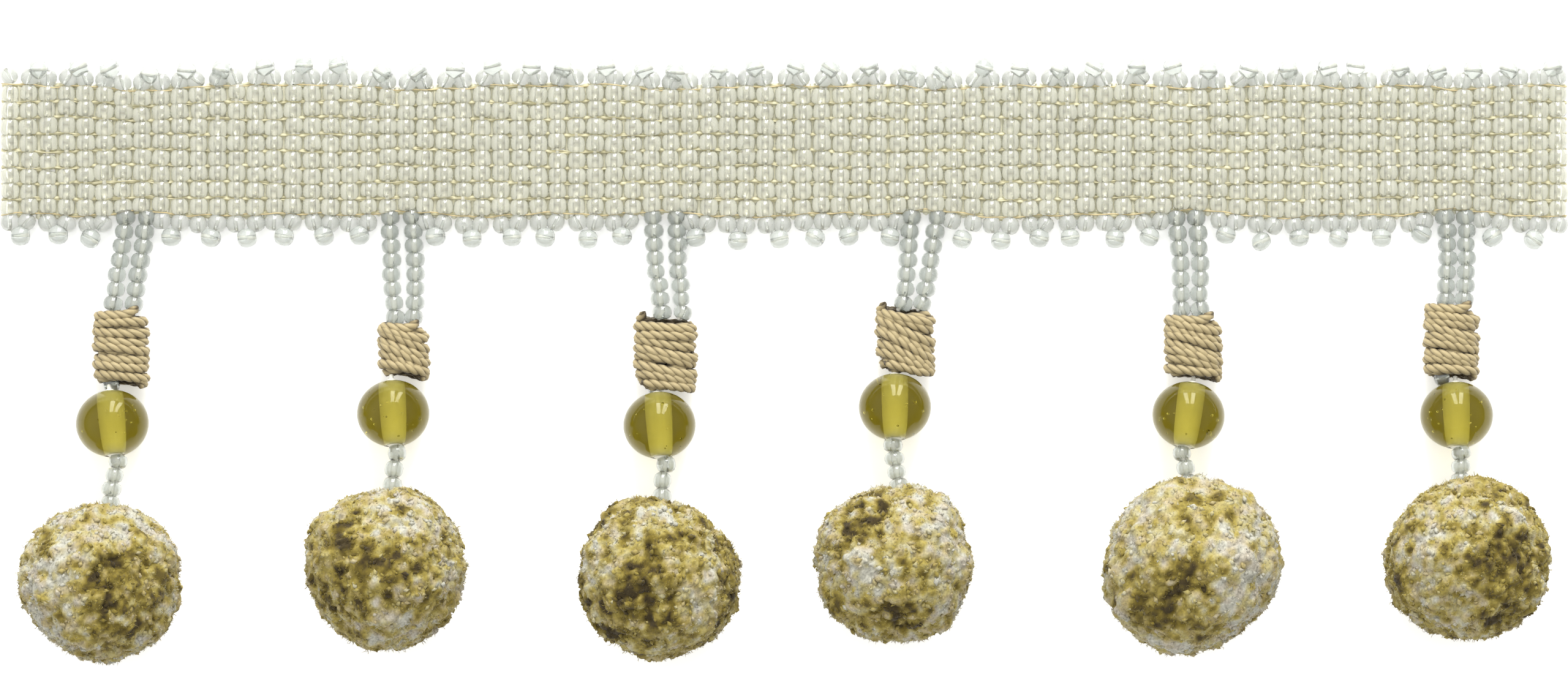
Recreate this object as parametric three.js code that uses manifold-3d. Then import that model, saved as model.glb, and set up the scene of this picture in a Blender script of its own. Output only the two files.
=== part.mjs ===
// Beaded fringe trim: a loom-woven band of clear seed beads with picot edges and six hanging drops.
// Each drop is two strands of seed beads, a cord-wound barrel, a round glass bead on its thread,
// a short neck of seed beads and a yarn pompom.
// Millimetres, +Z up. A cut length lies on its back on z = 0, with +X along the band and +Y from the
// pompoms to the band. The origin is under the middle of the whole trim.

import * as THREE from "three";
import { mergeVertices } from "three/addons/utils/BufferGeometryUtils.js";
import Module from "manifold-3d";

const wasm = await Module();
wasm.setup();

// Driving dimensions

const CLEARANCE = 0.3; // between two pieces that meet
const SEED = {
  diameter: 2.1,
  pitch: 1.58, // from bead to bead along a strand
  strandBelly: 0.9, // radius of a strand at a bead's middle
  strandWaist: 0.62, // radius of a strand where two beads meet
  sides: 6,
};
const BAND = {
  columns: 83, // weft strings of beads, side by side along the band
  columnPitch: 2.09,
  height: 13.9, // from edge thread to edge thread, eight beads
  ribHalfWidth: 0.88, // from a column's crest to its foot
  valley: 1.5, // thickness between two columns
  baseBead: 1.9, // the picots' base beads, beyond each edge thread
  crown: 0.2, // a base bead's middle stands beyond its corners by this
  pinch: 0.5, // each edge is drawn in by this where a drop pulls on it
  pinchReach: 4, // how far along the band that draw-in is felt
  unevenness: 0.25, // most that a column's end strays from the edge
};
const PICOT = { tipDiameter: 1.9, tipLength: 1.9, rise: 2.55, sides: 6 };
const LEG = { spreadAtWrap: 1.1 }; // from the wrap's axis to each leg
const WRAP = { depth: 4.34, turn: 1.12, groove: 0.2, segments: 12 };
const GLASS = { diameter: 8, length: 7.4, bore: 1.9, rise: 13, arcSteps: 7, segments: 12 };
const THREAD = { diameter: 1.3, sides: 6 };
const POMPOM = {
  cells: [3, 3, 2], // locks along X, Y and Z on the sides of the ball
  core: 0.72, // the bound middle, as a share of the radius
  sit: 0.9, // height of the centre, as a share of the radius: it settles on its underside
  lockTip: 0.8, // width of a lock's tip, as a share of its root
  dome: 1.04, // a lock's middle stands out by this
  unevenness: 0.08, // spread of the locks' lengths
  sway: 0.14, // most that the partings between locks stray, as a share of the radius
  swayWaves: 4, // how quickly that straying changes round the ball
  focus: 4, // how closely a flattened side, or the calm round the neck, keeps to its middle
};

// One row for each drop. column is the first of its two weft strings, x is along the band, down is below
// the band's lower edge thread, bow is how far a leg's middle strays to +X, lean and flatAt are in degrees,
// and flat is a share of the pompom's radius.
const DROP_FIELDS = [
  "column", "bowLeft", "bowRight", "wrapX", "wrapDown", "wrapLean", "wrapWidth", "glassX", "glassDown",
  "glassLean", "pomX", "pomDown", "pomRadius", "flatAt", "flat",
];
const DROPS = [
  [6, 0, 0.2, -73.2, 10.5, 0, 6.2, -73.9, 23.0, 7, -74.7, 40.2, 9.3, 232, 0.1],
  [20, -0.2, 0.4, -42.0, 12.0, 1, 5.6, -43.0, 21.9, 4, -43.4, 38.7, 9.3, 217, 0.04],
  [34, -0.2, -0.2, -13.1, 11.4, -4, 6.6, -13.7, 23.2, 4, -13.6, 39.7, 9.3, 50, 0.08],
  [48, 0, 0.15, 13.4, 10.4, -5, 6.1, 12.2, 21.2, 0, 12.1, 38.2, 9.2, 0, 0.05],
  [62, 0.2, 0.2, 45.2, 11.2, -2, 6.2, 44.5, 22.1, -9, 44.4, 38.5, 10.2, 313, 0.09],
  [76, 0.3, 0.3, 73.7, 10.0, -3, 5.9, 74.0, 22.1, 0, 74.4, 37.5, 9.4, 139, 0.05],
].map((row) => Object.fromEntries(DROP_FIELDS.map((field, i) => [field, row[i]])));

const FINISH = {
  seedBeads: new THREE.MeshStandardMaterial({ color: 0xe3e3d3, roughness: 0.2, metalness: 0 }),
  cord: new THREE.MeshStandardMaterial({ color: 0xcbb388, roughness: 0.7, metalness: 0 }),
  glass: new THREE.MeshStandardMaterial({ color: 0x9f9634, roughness: 0.1, metalness: 0 }),
  thread: new THREE.MeshStandardMaterial({ color: 0xe6d9a4, roughness: 0.8, metalness: 0 }),
  yarn: new THREE.MeshStandardMaterial({ color: 0xc6b98d, roughness: 0.95, metalness: 0 }),
};

// Helpers

// A repeatable number from -0.5 to 0.5 for each pair of whole numbers.
function scatter(row, column) {
  const wave = Math.sin(row * 12.9898 + column * 78.233) * 43758.5453;
  return wave - Math.floor(wave) - 0.5;
}

function geometryOf(triangles) {
  return new THREE.BufferGeometry().setFromPoints(triangles.flat());
}

function solidOf(geometry) {
  const bare = geometry.clone();
  bare.deleteAttribute("normal");
  bare.deleteAttribute("uv");
  const merged = mergeVertices(bare);
  const vertProperties = merged.attributes.position.array;
  const triVerts = new Uint32Array(merged.index.array);
  return new wasm.Manifold(new wasm.Mesh({ numProp: 3, vertProperties, triVerts }));
}

function geometryOfSolid(solid) {
  const { vertProperties, triVerts } = solid.getMesh();
  const geometry = new THREE.BufferGeometry();
  geometry.setAttribute("position", new THREE.BufferAttribute(vertProperties, 3));
  geometry.setIndex(new THREE.BufferAttribute(triVerts, 1));
  return geometry;
}

function named(name, geometry, material) {
  const mesh = new THREE.Mesh(geometry, material);
  mesh.name = name;
  return mesh;
}

// A unit vector down a drop, away from the band: lean turns it towards +X, and rise lifts it off the surface.
function downDirection(lean, rise) {
  const turn = THREE.MathUtils.degToRad(lean);
  const lift = THREE.MathUtils.degToRad(rise);
  return new THREE.Vector3(
    Math.sin(turn) * Math.cos(lift),
    -Math.cos(turn) * Math.cos(lift),
    Math.sin(lift),
  );
}

// Band

const LOWER_EDGE = -BAND.height / 2;
const WEAVE_MIDDLE = SEED.diameter / 2; // height of the threads that run through the beads

function columnX(column) {
  return (column - (BAND.columns - 1) / 2) * BAND.columnPitch;
}

// How far the band's edges are drawn in at x by the drops near it.
function drawIn(x) {
  const pulls = DROPS.map((drop) => (x - columnX(drop.column + 0.5)) / BAND.pinchReach);
  return pulls.reduce((sum, away) => sum + BAND.pinch * Math.exp(-away * away), 0);
}

function carriesDrop(column) {
  return DROPS.some((drop) => column === drop.column || column === drop.column + 1);
}

// The three cross-sections of one column: its left foot, its crest and its right foot. A column that
// carries a drop ends at the lower edge thread, and any other ends in a picot's base bead.
function columnSections(column) {
  const x = columnX(column);
  const edge = BAND.height / 2 - drawIn(x);
  const high = edge + BAND.baseBead + BAND.unevenness * scatter(column, 0);
  const low = carriesDrop(column) ? -edge : -edge - BAND.baseBead - BAND.unevenness * scatter(column, 1);
  return [-1, 0, 1].map((side) => ({
    x: x + side * BAND.ribHalfWidth,
    high: high + (side === 0 ? BAND.crown : 0),
    low: low - (side === 0 && !carriesDrop(column) ? BAND.crown : 0),
    thick: side === 0 ? SEED.diameter : BAND.valley,
  }));
}

// The ribbed strip: every column's sections, skinned one to the next, with a flat back on z = 0.
function wovenStrip() {
  const rings = Array.from({ length: BAND.columns }, (_, column) => columnSections(column))
    .flat()
    .map(({ x, high, low, thick }) => [
      new THREE.Vector3(x, low, 0),
      new THREE.Vector3(x, high, 0),
      new THREE.Vector3(x, high, thick),
      new THREE.Vector3(x, low, thick),
    ]);
  const first = rings[0];
  const last = rings[rings.length - 1];
  const triangles = [
    [first[0], first[2], first[1]],
    [first[0], first[3], first[2]],
    [last[0], last[1], last[2]],
    [last[0], last[2], last[3]],
  ];
  for (let i = 1; i < rings.length; i += 1) {
    const [near, far] = [rings[i - 1], rings[i]];
    for (let k = 0; k < near.length; k += 1) {
      const next = (k + 1) % near.length;
      triangles.push([near[k], near[next], far[next]], [near[k], far[next], far[k]]);
    }
  }
  return geometryOf(triangles);
}

// A picot's tip bead, lying along the band on the two base beads of a pair of columns.
function picotTip(column, side) {
  const x = columnX(column + 0.5);
  const radius = PICOT.tipDiameter / 2;
  const tip = new THREE.CylinderGeometry(radius, radius, PICOT.tipLength, PICOT.sides);
  const y = side * (BAND.height / 2 - drawIn(x) + PICOT.rise);
  return tip.rotateZ(Math.PI / 2).translate(x, y, WEAVE_MIDDLE);
}

// The weft snakes up one column and down the next, so picots pair the columns from 1 at the upper edge
// and from 0 at the lower edge, where the drops take the place of some.
function makeBand() {
  let solid = solidOf(wovenStrip());
  for (let column = 0; column < BAND.columns - 1; column += 1) {
    const upper = column % 2 === 1;
    if (upper || !carriesDrop(column)) {
      solid = solid.add(solidOf(picotTip(column, upper ? 1 : -1)));
    }
  }
  return named("band", geometryOfSolid(solid), FINISH.seedBeads);
}

// Drops

// A strand of touching seed beads from one point to another: a turned row of bellies and waists, laid
// along a line that sags sideways by bow at its middle.
function beadStrand(name, from, to, bow) {
  const beads = Math.max(2, Math.round(from.distanceTo(to) / SEED.pitch));
  const profile = [new THREE.Vector2(0, 0)];
  for (let i = 0; i <= 2 * beads; i += 1) {
    const radius = i % 2 === 1 ? SEED.strandBelly : SEED.strandWaist;
    profile.push(new THREE.Vector2(radius, i / (2 * beads)));
  }
  profile.push(new THREE.Vector2(0, 1));
  const middle = from.clone().lerp(to, 0.5).add(new THREE.Vector3(2 * bow, 0, 0));
  const line = new THREE.QuadraticBezierCurve3(from, middle, to);
  const geometry = new THREE.LatheGeometry(profile, SEED.sides);
  const points = geometry.attributes.position;
  const up = new THREE.Vector3(0, 0, 1);
  for (let i = 0; i < points.count; i += 1) {
    const along = line.getTangent(points.getY(i));
    const across = along.clone().cross(up).normalize();
    const above = across.clone().cross(along);
    const place = line.getPoint(points.getY(i));
    place.addScaledVector(across, points.getX(i)).addScaledVector(above, points.getZ(i));
    points.setXYZ(i, place.x, place.y, place.z);
  }
  return named(name, geometry, FINISH.seedBeads);
}

// A barrel of cord wound round the two legs: an oval with a ridge for each turn.
function makeWrap(name, length, width) {
  const turns = Math.round(length / WRAP.turn);
  const profile = [new THREE.Vector2(0, -length / 2)];
  for (let i = 0; i <= 2 * turns; i += 1) {
    const radius = i % 2 === 1 ? 1 : 1 - (2 * WRAP.groove) / WRAP.depth;
    profile.push(new THREE.Vector2(radius, -length / 2 + (i * length) / (2 * turns)));
  }
  profile.push(new THREE.Vector2(0, length / 2));
  const geometry = new THREE.LatheGeometry(profile, WRAP.segments);
  geometry.scale(width / 2, 1, WRAP.depth / 2);
  return named(name, geometry, FINISH.cord);
}

// A round bead, a little shorter along its bore than across it, with a plain drilled bore.
function makeGlassBead(name) {
  const bore = GLASS.bore / 2;
  const start = Math.asin(bore / (GLASS.diameter / 2));
  const profile = [];
  for (let i = 0; i <= GLASS.arcSteps; i += 1) {
    const angle = start + ((Math.PI - 2 * start) * i) / GLASS.arcSteps;
    const radius = (GLASS.diameter / 2) * Math.sin(angle);
    profile.push(new THREE.Vector2(radius, -(GLASS.length / 2) * Math.cos(angle)));
  }
  profile.push(profile[0].clone());
  return named(name, new THREE.LatheGeometry(profile, GLASS.segments), FINISH.glass);
}

// The drop's thread where it runs through the glass bead's bore.
function makeThread(name, length) {
  const radius = THREAD.diameter / 2;
  const geometry = new THREE.CylinderGeometry(radius, radius, length, THREAD.sides);
  return named(name, geometry, FINISH.thread);
}

const QUAD_INDICES = 6; // a lattice cell is stored as two triangles

// How far a pompom reaches from its centre in a direction: its radius, less where one side is flattened.
function pompomReach(drop, direction) {
  const flatAt = THREE.MathUtils.degToRad(drop.flatAt);
  const flatSide = new THREE.Vector3(Math.cos(flatAt), Math.sin(flatAt), 0);
  return drop.pomRadius * (1 - drop.flat * Math.max(0, direction.dot(flatSide)) ** POMPOM.focus);
}

// A pompom: a bound core whose surface is parted into four-sided cells, each but the neck's carrying one
// lock of yarn that tapers to a domed tip. Locks that would reach under z = 0 are shorter and end level on it.
function makePompom(name, centre, drop, number, towardsNeck) {
  const lattice = new THREE.BoxGeometry(2, 2, 2, ...POMPOM.cells);
  const cube = lattice.attributes.position;
  const stray = (direction) => {
    const wave = direction.clone().multiplyScalar(POMPOM.swayWaves).addScalar(number);
    const calm = 1 - Math.max(0, direction.dot(towardsNeck)) ** POMPOM.focus;
    const push = new THREE.Vector3(Math.sin(wave.y), Math.sin(wave.z), Math.sin(wave.x));
    return direction.clone().addScaledVector(push, POMPOM.sway * calm).normalize();
  };
  const corners = Array.from({ length: cube.count }, (_, i) => {
    const spread = [cube.getX(i), cube.getY(i), cube.getZ(i)].map((u) => Math.tan((u * Math.PI) / 4));
    return stray(new THREE.Vector3(...spread).normalize());
  });
  const place = (direction, share) => {
    const point = centre.clone().addScaledVector(direction, pompomReach(drop, direction) * share);
    const fall = centre.z - point.z;
    return fall > centre.z ? centre.clone().lerp(point, centre.z / fall) : point;
  };

  const cells = [];
  for (let i = 0; i < lattice.index.count; i += QUAD_INDICES) {
    const [a, b, d, , c] = lattice.index.array.slice(i, i + QUAD_INDICES);
    const cell = [a, b, c, d].map((k) => corners[k]);
    const middle = cell.reduce((sum, corner) => sum.add(corner), new THREE.Vector3()).normalize();
    cells.push({ cell, middle });
  }
  const facesNeck = cells.map(({ middle }) => middle.dot(towardsNeck));
  const neckCell = facesNeck.indexOf(Math.max(...facesNeck));

  const triangles = cells.flatMap(({ cell, middle }, index) => {
    const root = cell.map((corner) => place(corner, POMPOM.core));
    const nextTo = (k) => (k + 1) % cell.length;
    if (index === neckCell) {
      const seat = place(towardsNeck, POMPOM.core);
      return cell.map((_, k) => [root[k], root[nextTo(k)], seat]);
    }
    const long = 1 + POMPOM.unevenness * scatter(number, index);
    const tip = cell.map((corner) => place(middle.clone().lerp(corner, POMPOM.lockTip).normalize(), long));
    const dome = place(middle, long * POMPOM.dome);
    return cell.flatMap((_, k) => [
      [root[k], root[nextTo(k)], tip[nextTo(k)]],
      [root[k], tip[nextTo(k)], tip[k]],
      [tip[k], tip[nextTo(k)], dome],
    ]);
  });
  return named(name, geometryOf(triangles), FINISH.yarn);
}

// Stands a turned piece, made along Y, at a place with its axis along a direction.
function stand(mesh, place, direction) {
  mesh.position.copy(place);
  mesh.quaternion.setFromUnitVectors(new THREE.Vector3(0, -1, 0), direction);
  return mesh;
}

function makeDrop(drop, number) {
  const group = new THREE.Group();

  const glassAxis = downDirection(drop.glassLean, GLASS.rise);
  const glassCentre = new THREE.Vector3(drop.glassX, LOWER_EDGE - drop.glassDown, GLASS.diameter / 2);
  group.add(stand(makeGlassBead(`glass_bead_${number}`), glassCentre, glassAxis));
  group.add(stand(makeThread(`thread_${number}`, GLASS.length), glassCentre, glassAxis));

  const wrapEnd = drop.glassDown - GLASS.length / 2 - CLEARANCE;
  const wrapLength = wrapEnd - drop.wrapDown;
  const wrapAxis = downDirection(drop.wrapLean, 0);
  const wrapCentre = new THREE.Vector3(
    drop.wrapX,
    LOWER_EDGE - drop.wrapDown - wrapLength / 2,
    WRAP.depth / 2,
  );
  group.add(stand(makeWrap(`wrap_${number}`, wrapLength, drop.wrapWidth), wrapCentre, wrapAxis));

  const wrapTop = wrapCentre.clone().addScaledVector(wrapAxis, -wrapLength / 2 - CLEARANCE);
  for (const [side, offset, bow] of [["left", 0, drop.bowLeft], ["right", 1, drop.bowRight]]) {
    const x = columnX(drop.column + offset);
    const from = new THREE.Vector3(x, LOWER_EDGE + drawIn(x) - CLEARANCE, WEAVE_MIDDLE);
    const to = wrapTop.clone();
    to.x += (2 * offset - 1) * LEG.spreadAtWrap;
    group.add(beadStrand(`leg_${side}_${number}`, from, to, bow));
  }

  const pomCentre = new THREE.Vector3(
    drop.pomX,
    LOWER_EDGE - drop.pomDown,
    POMPOM.sit * drop.pomRadius,
  );
  const neckTop = glassCentre.clone().addScaledVector(glassAxis, GLASS.length / 2 + CLEARANCE);
  const towardsNeck = neckTop.clone().sub(pomCentre).normalize();
  const neckEnd = pomCentre
    .clone()
    .addScaledVector(towardsNeck, POMPOM.core * pompomReach(drop, towardsNeck) + CLEARANCE);
  group.add(beadStrand(`neck_${number}`, neckTop, neckEnd, 0));
  group.add(makePompom(`pompom_${number}`, pomCentre, drop, number, towardsNeck));
  return group;
}

// The whole trim, moved so that the origin lies under its middle

const trim = new THREE.Group();
trim.add(makeBand(), ...DROPS.map((drop, i) => makeDrop(drop, i + 1)));
const extent = new THREE.Box3().setFromObject(trim, true);
const middle = extent.getCenter(new THREE.Vector3());
trim.position.set(-middle.x, -middle.y, -extent.min.z);

const part = new THREE.Group();
part.add(trim);

export default part;
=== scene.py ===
"""Dresses the beaded fringe trim: seed beads, cotton threads, wound cord, olive glass and yarn pompoms.

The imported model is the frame. Every piece takes its place from a CAD node and rides on the one body,
"root". The beads, wraps, drop threads and pompoms also stand for their nodes. Shapes are worked out in
millimetres with numpy and stored in metres.
"""

import logging
import math
from dataclasses import dataclass, field
from enum import Enum

import bpy
import numpy as np
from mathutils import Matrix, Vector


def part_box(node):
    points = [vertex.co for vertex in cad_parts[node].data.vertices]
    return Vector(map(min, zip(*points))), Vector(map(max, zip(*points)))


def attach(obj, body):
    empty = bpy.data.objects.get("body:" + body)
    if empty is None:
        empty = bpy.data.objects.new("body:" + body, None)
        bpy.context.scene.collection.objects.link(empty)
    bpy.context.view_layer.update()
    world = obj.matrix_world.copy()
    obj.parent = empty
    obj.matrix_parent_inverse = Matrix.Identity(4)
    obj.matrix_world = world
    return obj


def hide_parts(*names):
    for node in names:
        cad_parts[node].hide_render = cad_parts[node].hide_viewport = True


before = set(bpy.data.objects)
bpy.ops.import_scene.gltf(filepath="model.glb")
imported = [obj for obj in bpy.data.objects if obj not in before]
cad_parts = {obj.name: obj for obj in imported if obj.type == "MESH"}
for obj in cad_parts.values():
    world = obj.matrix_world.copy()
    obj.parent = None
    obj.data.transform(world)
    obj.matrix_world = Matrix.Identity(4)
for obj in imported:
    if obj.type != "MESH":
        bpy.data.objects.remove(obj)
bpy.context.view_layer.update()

LOG = logging.getLogger("fringe_trim")
Array = np.ndarray
Material = bpy.types.Material
Socket = bpy.types.NodeSocket
MM = 0.001
BODY = "root"
TURN = 2 * math.pi
UP = np.array([0.0, 0.0, 1.0])
# How far a tube's closed end stands out, as a share of its radius.
END_ROUNDING = 0.6
# Nearly all values of a noise lie between these two.
NOISE_LOW, NOISE_HIGH = 0.3, 0.7


def linear(colour: str) -> tuple[float, float, float]:
    """Turns an sRGB hex colour into linear light.

    Args:
        colour: six hex digits, such as "cbb388".

    Returns:
        Red, green and blue from 0 to 1.
    """
    channels = [int(colour[i : i + 2], 16) / 255 for i in (0, 2, 4)]
    return tuple(c / 12.92 if c <= 0.04045 else ((c + 0.055) / 1.055) ** 2.4 for c in channels)


def rgba(colour: str, share: float = 1.0) -> tuple[float, float, float, float]:
    """A hex colour in linear light, times a share, as a socket takes it."""
    return (*(share * c for c in linear(colour)), 1)


def unit(vectors: Array) -> Array:
    """Scales vectors along the last axis to length 1."""
    return vectors / np.linalg.norm(vectors, axis=-1, keepdims=True)


class Slot(Enum):
    """The record's material slots."""

    SEED_BEADS = "seed_beads"
    CORD = "cord"
    OLIVE_GLASS = "olive_glass"
    THREAD = "thread"
    YARN = "yarn"


@dataclass
class Surface:
    """A mesh held as whole arrays.

    Attributes:
        points: places in millimetres, one row each.
        faces: rows of four point numbers; a triangle repeats its last number.
        tint: linear colour of each point, or None.
        fibre: place of each point along its strand in millimetres, round it in turns, and how little of the
            finish's painted shade and edge colour it takes, from 0, all of it, to 1, none, or None.
    """

    points: Array
    faces: Array
    tint: Array | None = None
    fibre: Array | None = None

    @staticmethod
    def joined(parts: list["Surface"]) -> "Surface":
        """Joins surfaces that carry the same attributes into one.

        Args:
            parts: the surfaces.

        Returns:
            One surface with the points and faces of them all.
        """
        starts = np.cumsum([0] + [len(p.points) for p in parts[:-1]])
        return Surface(
            np.concatenate([p.points for p in parts]),
            np.concatenate([p.faces + start for p, start in zip(parts, starts)]),
            None if parts[0].tint is None else np.concatenate([p.tint for p in parts]),
            None if parts[0].fibre is None else np.concatenate([p.fibre for p in parts]),
        )

    def inside_out(self) -> "Surface":
        """The same plain surface with its faces turned inwards, for a hollow."""
        is_triangle = (self.faces[:, 2] == self.faces[:, 3])[:, None]
        return Surface(self.points, np.where(is_triangle, self.faces[:, [1, 0, 2, 2]], self.faces[:, ::-1]))

    def piece(self, name: str, material: Material, slot: Slot, replaces: list[str]) -> None:
        """Makes the Blender object, with its place in its mesh, and hangs it on the frame.

        Args:
            name: the piece's name.
            material: its finish.
            slot: the record's slot that the finish belongs to; not used.
            replaces: the CAD nodes that it stands for.
        """
        is_quad = self.faces[:, 2] != self.faces[:, 3]
        totals = np.where(is_quad, 4, 3).astype(np.int32)
        starts = np.concatenate([[0], np.cumsum(totals)[:-1]]).astype(np.int32)
        keep = np.ones(self.faces.shape, bool)
        keep[:, 3] = is_quad
        corners = self.faces[keep].astype(np.int32)
        mesh = bpy.data.meshes.new(name)
        mesh.vertices.add(len(self.points))
        mesh.vertices.foreach_set("co", (self.points * MM).astype(np.float32).ravel())
        mesh.loops.add(len(corners))
        mesh.loops.foreach_set("vertex_index", corners)
        mesh.polygons.add(len(totals))
        mesh.polygons.foreach_set("loop_start", starts)
        mesh.polygons.foreach_set("use_smooth", np.ones(len(totals), bool))
        mesh.update(calc_edges=True)
        if self.tint is not None:
            paint = np.column_stack([self.tint, np.ones(len(self.tint))]).astype(np.float32)
            mesh.attributes.new("tint", "FLOAT_COLOR", "POINT").data.foreach_set("color", paint.ravel())
        if self.fibre is not None:
            lay = mesh.attributes.new("fibre", "FLOAT_VECTOR", "POINT")
            lay.data.foreach_set("vector", self.fibre.astype(np.float32).ravel())
        mesh.materials.append(material)
        thing = bpy.data.objects.new(name, mesh)
        bpy.context.scene.collection.objects.link(thing)
        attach(thing, BODY)
        if replaces:
            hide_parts(*replaces)
        LOG.info("%s: %d points, %d faces", name, len(self.points), len(self.faces))


def grid_faces(rows: int, columns: int, wrap_rows: bool = False) -> Array:
    """Faces of a grid of points, numbered row by row, that closes on itself along its columns.

    Args:
        rows: rows of the grid.
        columns: points in a row, round a section.
        wrap_rows: whether the last row joins the first.

    Returns:
        One row of four point numbers for each face, facing out where the rows run along the axis.
    """
    r, c = np.meshgrid(np.arange(rows if wrap_rows else rows - 1), np.arange(columns), indexing="ij")
    r2, c2 = (r + 1) % rows, (c + 1) % columns
    corners = [r * columns + c, r * columns + c2, r2 * columns + c2, r2 * columns + c]
    return np.stack(corners, -1).reshape(-1, 4)


def sheet_faces(rows: int, columns: int) -> Array:
    """Faces of an open grid of points, numbered row by row.

    Args:
        rows: rows of the grid.
        columns: points in a row.

    Returns:
        One row of four point numbers for each face, facing along row x column.
    """
    r, c = (a.ravel() for a in np.meshgrid(np.arange(rows - 1), np.arange(columns - 1), indexing="ij"))
    first = r * columns + c
    return np.stack([first, first + columns, first + columns + 1, first + 1], 1)


def capped_faces(steps: int, sides: int) -> Array:
    """Faces of a tube of rings whose two ends close to a point each.

    Args:
        steps: rings along the tube.
        sides: points round a ring.

    Returns:
        The wall's faces and the triangles to the first and the last end, whose points come after the rings.
    """
    c = np.arange(sides)
    c2 = (c + 1) % sides
    first, last = np.full(sides, steps * sides), np.full(sides, steps * sides + 1)
    base = (steps - 1) * sides
    start_cap = np.stack([c2, c, first, first], 1)
    end_cap = np.stack([base + c, base + c2, last, last], 1)
    return np.concatenate([grid_faces(steps, sides), start_cap, end_cap])


def round_angles(sides: int) -> Array:
    """Even angles round a section."""
    return np.arange(sides) * TURN / sides


def turned(profile: Array, sides: int) -> Surface:
    """Carries a closed profile round the Z axis.

    A point (radius, height) of the profile becomes (radius cos a, radius sin a, height) at every angle a.

    Args:
        profile: radius and height, one row each, up the outside and down the bore.
        sides: points round the axis.

    Returns:
        The ring.
    """
    angle = round_angles(sides)
    radius, height = profile[:, :1], np.broadcast_to(profile[:, 1:], (len(profile), sides))
    points = np.stack([radius * np.cos(angle), radius * np.sin(angle), height], -1)
    return Surface(points.reshape(-1, 3), grid_faces(len(profile), sides, wrap_rows=True))


def copies(model: Surface, places: Array, axes: Array, width: Array, length: Array) -> Surface:
    """Repeats a turned model, with its Z axis along each axis.

    A model's point (x, y, z) becomes place + width (x u + y v) + length z w, where w is the axis and u and v
    are square to it. u is also square to Z, or to X where the axis is steep.

    Args:
        model: the model on the Z axis.
        places: centres.
        axes: directions of the bores.
        width: scale across the bore of each copy.
        length: scale along the bore of each copy.

    Returns:
        All the copies as one surface.
    """
    steep = 0.8
    w = unit(axes)
    u = unit(np.cross(np.where(np.abs(w[:, 2:]) < steep, UP, [1.0, 0.0, 0.0]), w))
    v = np.cross(w, u)
    x, y, z = (model.points[None, :, i, None] for i in range(3))
    across = x * u[:, None] + y * v[:, None]
    points = places[:, None] + width[:, None, None] * across + length[:, None, None] * z * w[:, None]
    faces = model.faces[None] + len(model.points) * np.arange(len(places))[:, None, None]
    return Surface(points.reshape(-1, 3), faces.reshape(-1, 4))


def along_path(path: Array, across: Array) -> tuple[Array, Array, Array, Array]:
    """Frames along a path.

    Args:
        path: points of the path.
        across: a direction that the path never runs along.

    Returns:
        Tangents, two normals square to them (normal x binormal = tangent), and the length run so far.
    """
    tangent = unit(np.gradient(path, axis=0))
    normal = unit(np.cross(across, tangent))
    run = np.concatenate([[0], np.cumsum(np.linalg.norm(np.diff(path, axis=0), axis=1))])
    return tangent, normal, np.cross(tangent, normal), run


def tube(path: Array, radius: Array | float, sides: int, across: Array = UP) -> Surface:
    """Carries a circle along a path and closes both ends to a point.

    A point at step i and angle a is path[i] + radius[i] (cos a normal[i] + sin a binormal[i]).

    Args:
        path: points of the path.
        radius: one radius, or one for each point.
        sides: points round the path.
        across: a direction that the path never runs along.

    Returns:
        The closed tube, with its fibre coordinates.
    """
    tangent, normal, binormal, run = along_path(path, across)
    angle = round_angles(sides)
    ring = np.cos(angle)[:, None] * normal[:, None] + np.sin(angle)[:, None] * binormal[:, None]
    size = np.broadcast_to(np.asarray(radius, float), len(path))
    wall = (path[:, None] + size[:, None, None] * ring).reshape(-1, 3)
    start = path[0] - END_ROUNDING * size[0] * tangent[0]
    end = path[-1] + END_ROUNDING * size[-1] * tangent[-1]
    turns = np.tile(np.arange(sides) / sides, len(path))
    fibre = np.column_stack([np.repeat(run, sides), turns, np.ones(len(wall))])
    fibre = np.concatenate([fibre, [[run[0], 0, 1], [run[-1], 0, 1]]])
    return Surface(np.vstack([wall, start, end]), capped_faces(len(path), sides), fibre=fibre)


def strands(root: Array, tip: Array, bow: Array, radius: Array, sides: int, rings: Array) -> Surface:
    """Many short strands, each a spindle from its root to its tip.

    At a share s of the length the middle is root + s (tip - root) + 4 s (1 - s) bow, and the oval there has
    the radii times the ring's own share. Both ends close to a point.

    Args:
        root: where each strand starts.
        tip: where each strand ends.
        bow: how far each strand's middle strays.
        radius: the two radii of each strand.
        sides: points round a strand.
        rings: share of the length and share of the radius, one row for each ring.

    Returns:
        All the strands as one surface.
    """
    count = len(root)
    run = tip - root
    along = unit(run)
    # A bow of nothing still needs a side to turn from, hence the hair's breadth.
    u = unit(np.cross(bow + 1e-6 * UP, along))
    v = np.cross(along, u)
    s = rings[None, :, :1]
    middle = root[:, None] + s * run[:, None] + 4 * s * (1 - s) * bow[:, None]
    angle = round_angles(sides)
    oval = np.cos(angle)[None, :, None] * (radius[:, :1] * u)[:, None]
    oval = oval + np.sin(angle)[None, :, None] * (radius[:, 1:] * v)[:, None]
    wall = middle[:, :, None] + rings[None, :, 1, None, None] * oval[:, None]
    points = np.concatenate([wall.reshape(count, -1, 3), root[:, None], tip[:, None]], 1)
    faces = capped_faces(len(rings), sides)[None] + points.shape[1] * np.arange(count)[:, None, None]
    return Surface(points.reshape(-1, 3), faces.reshape(-1, 4))


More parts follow.
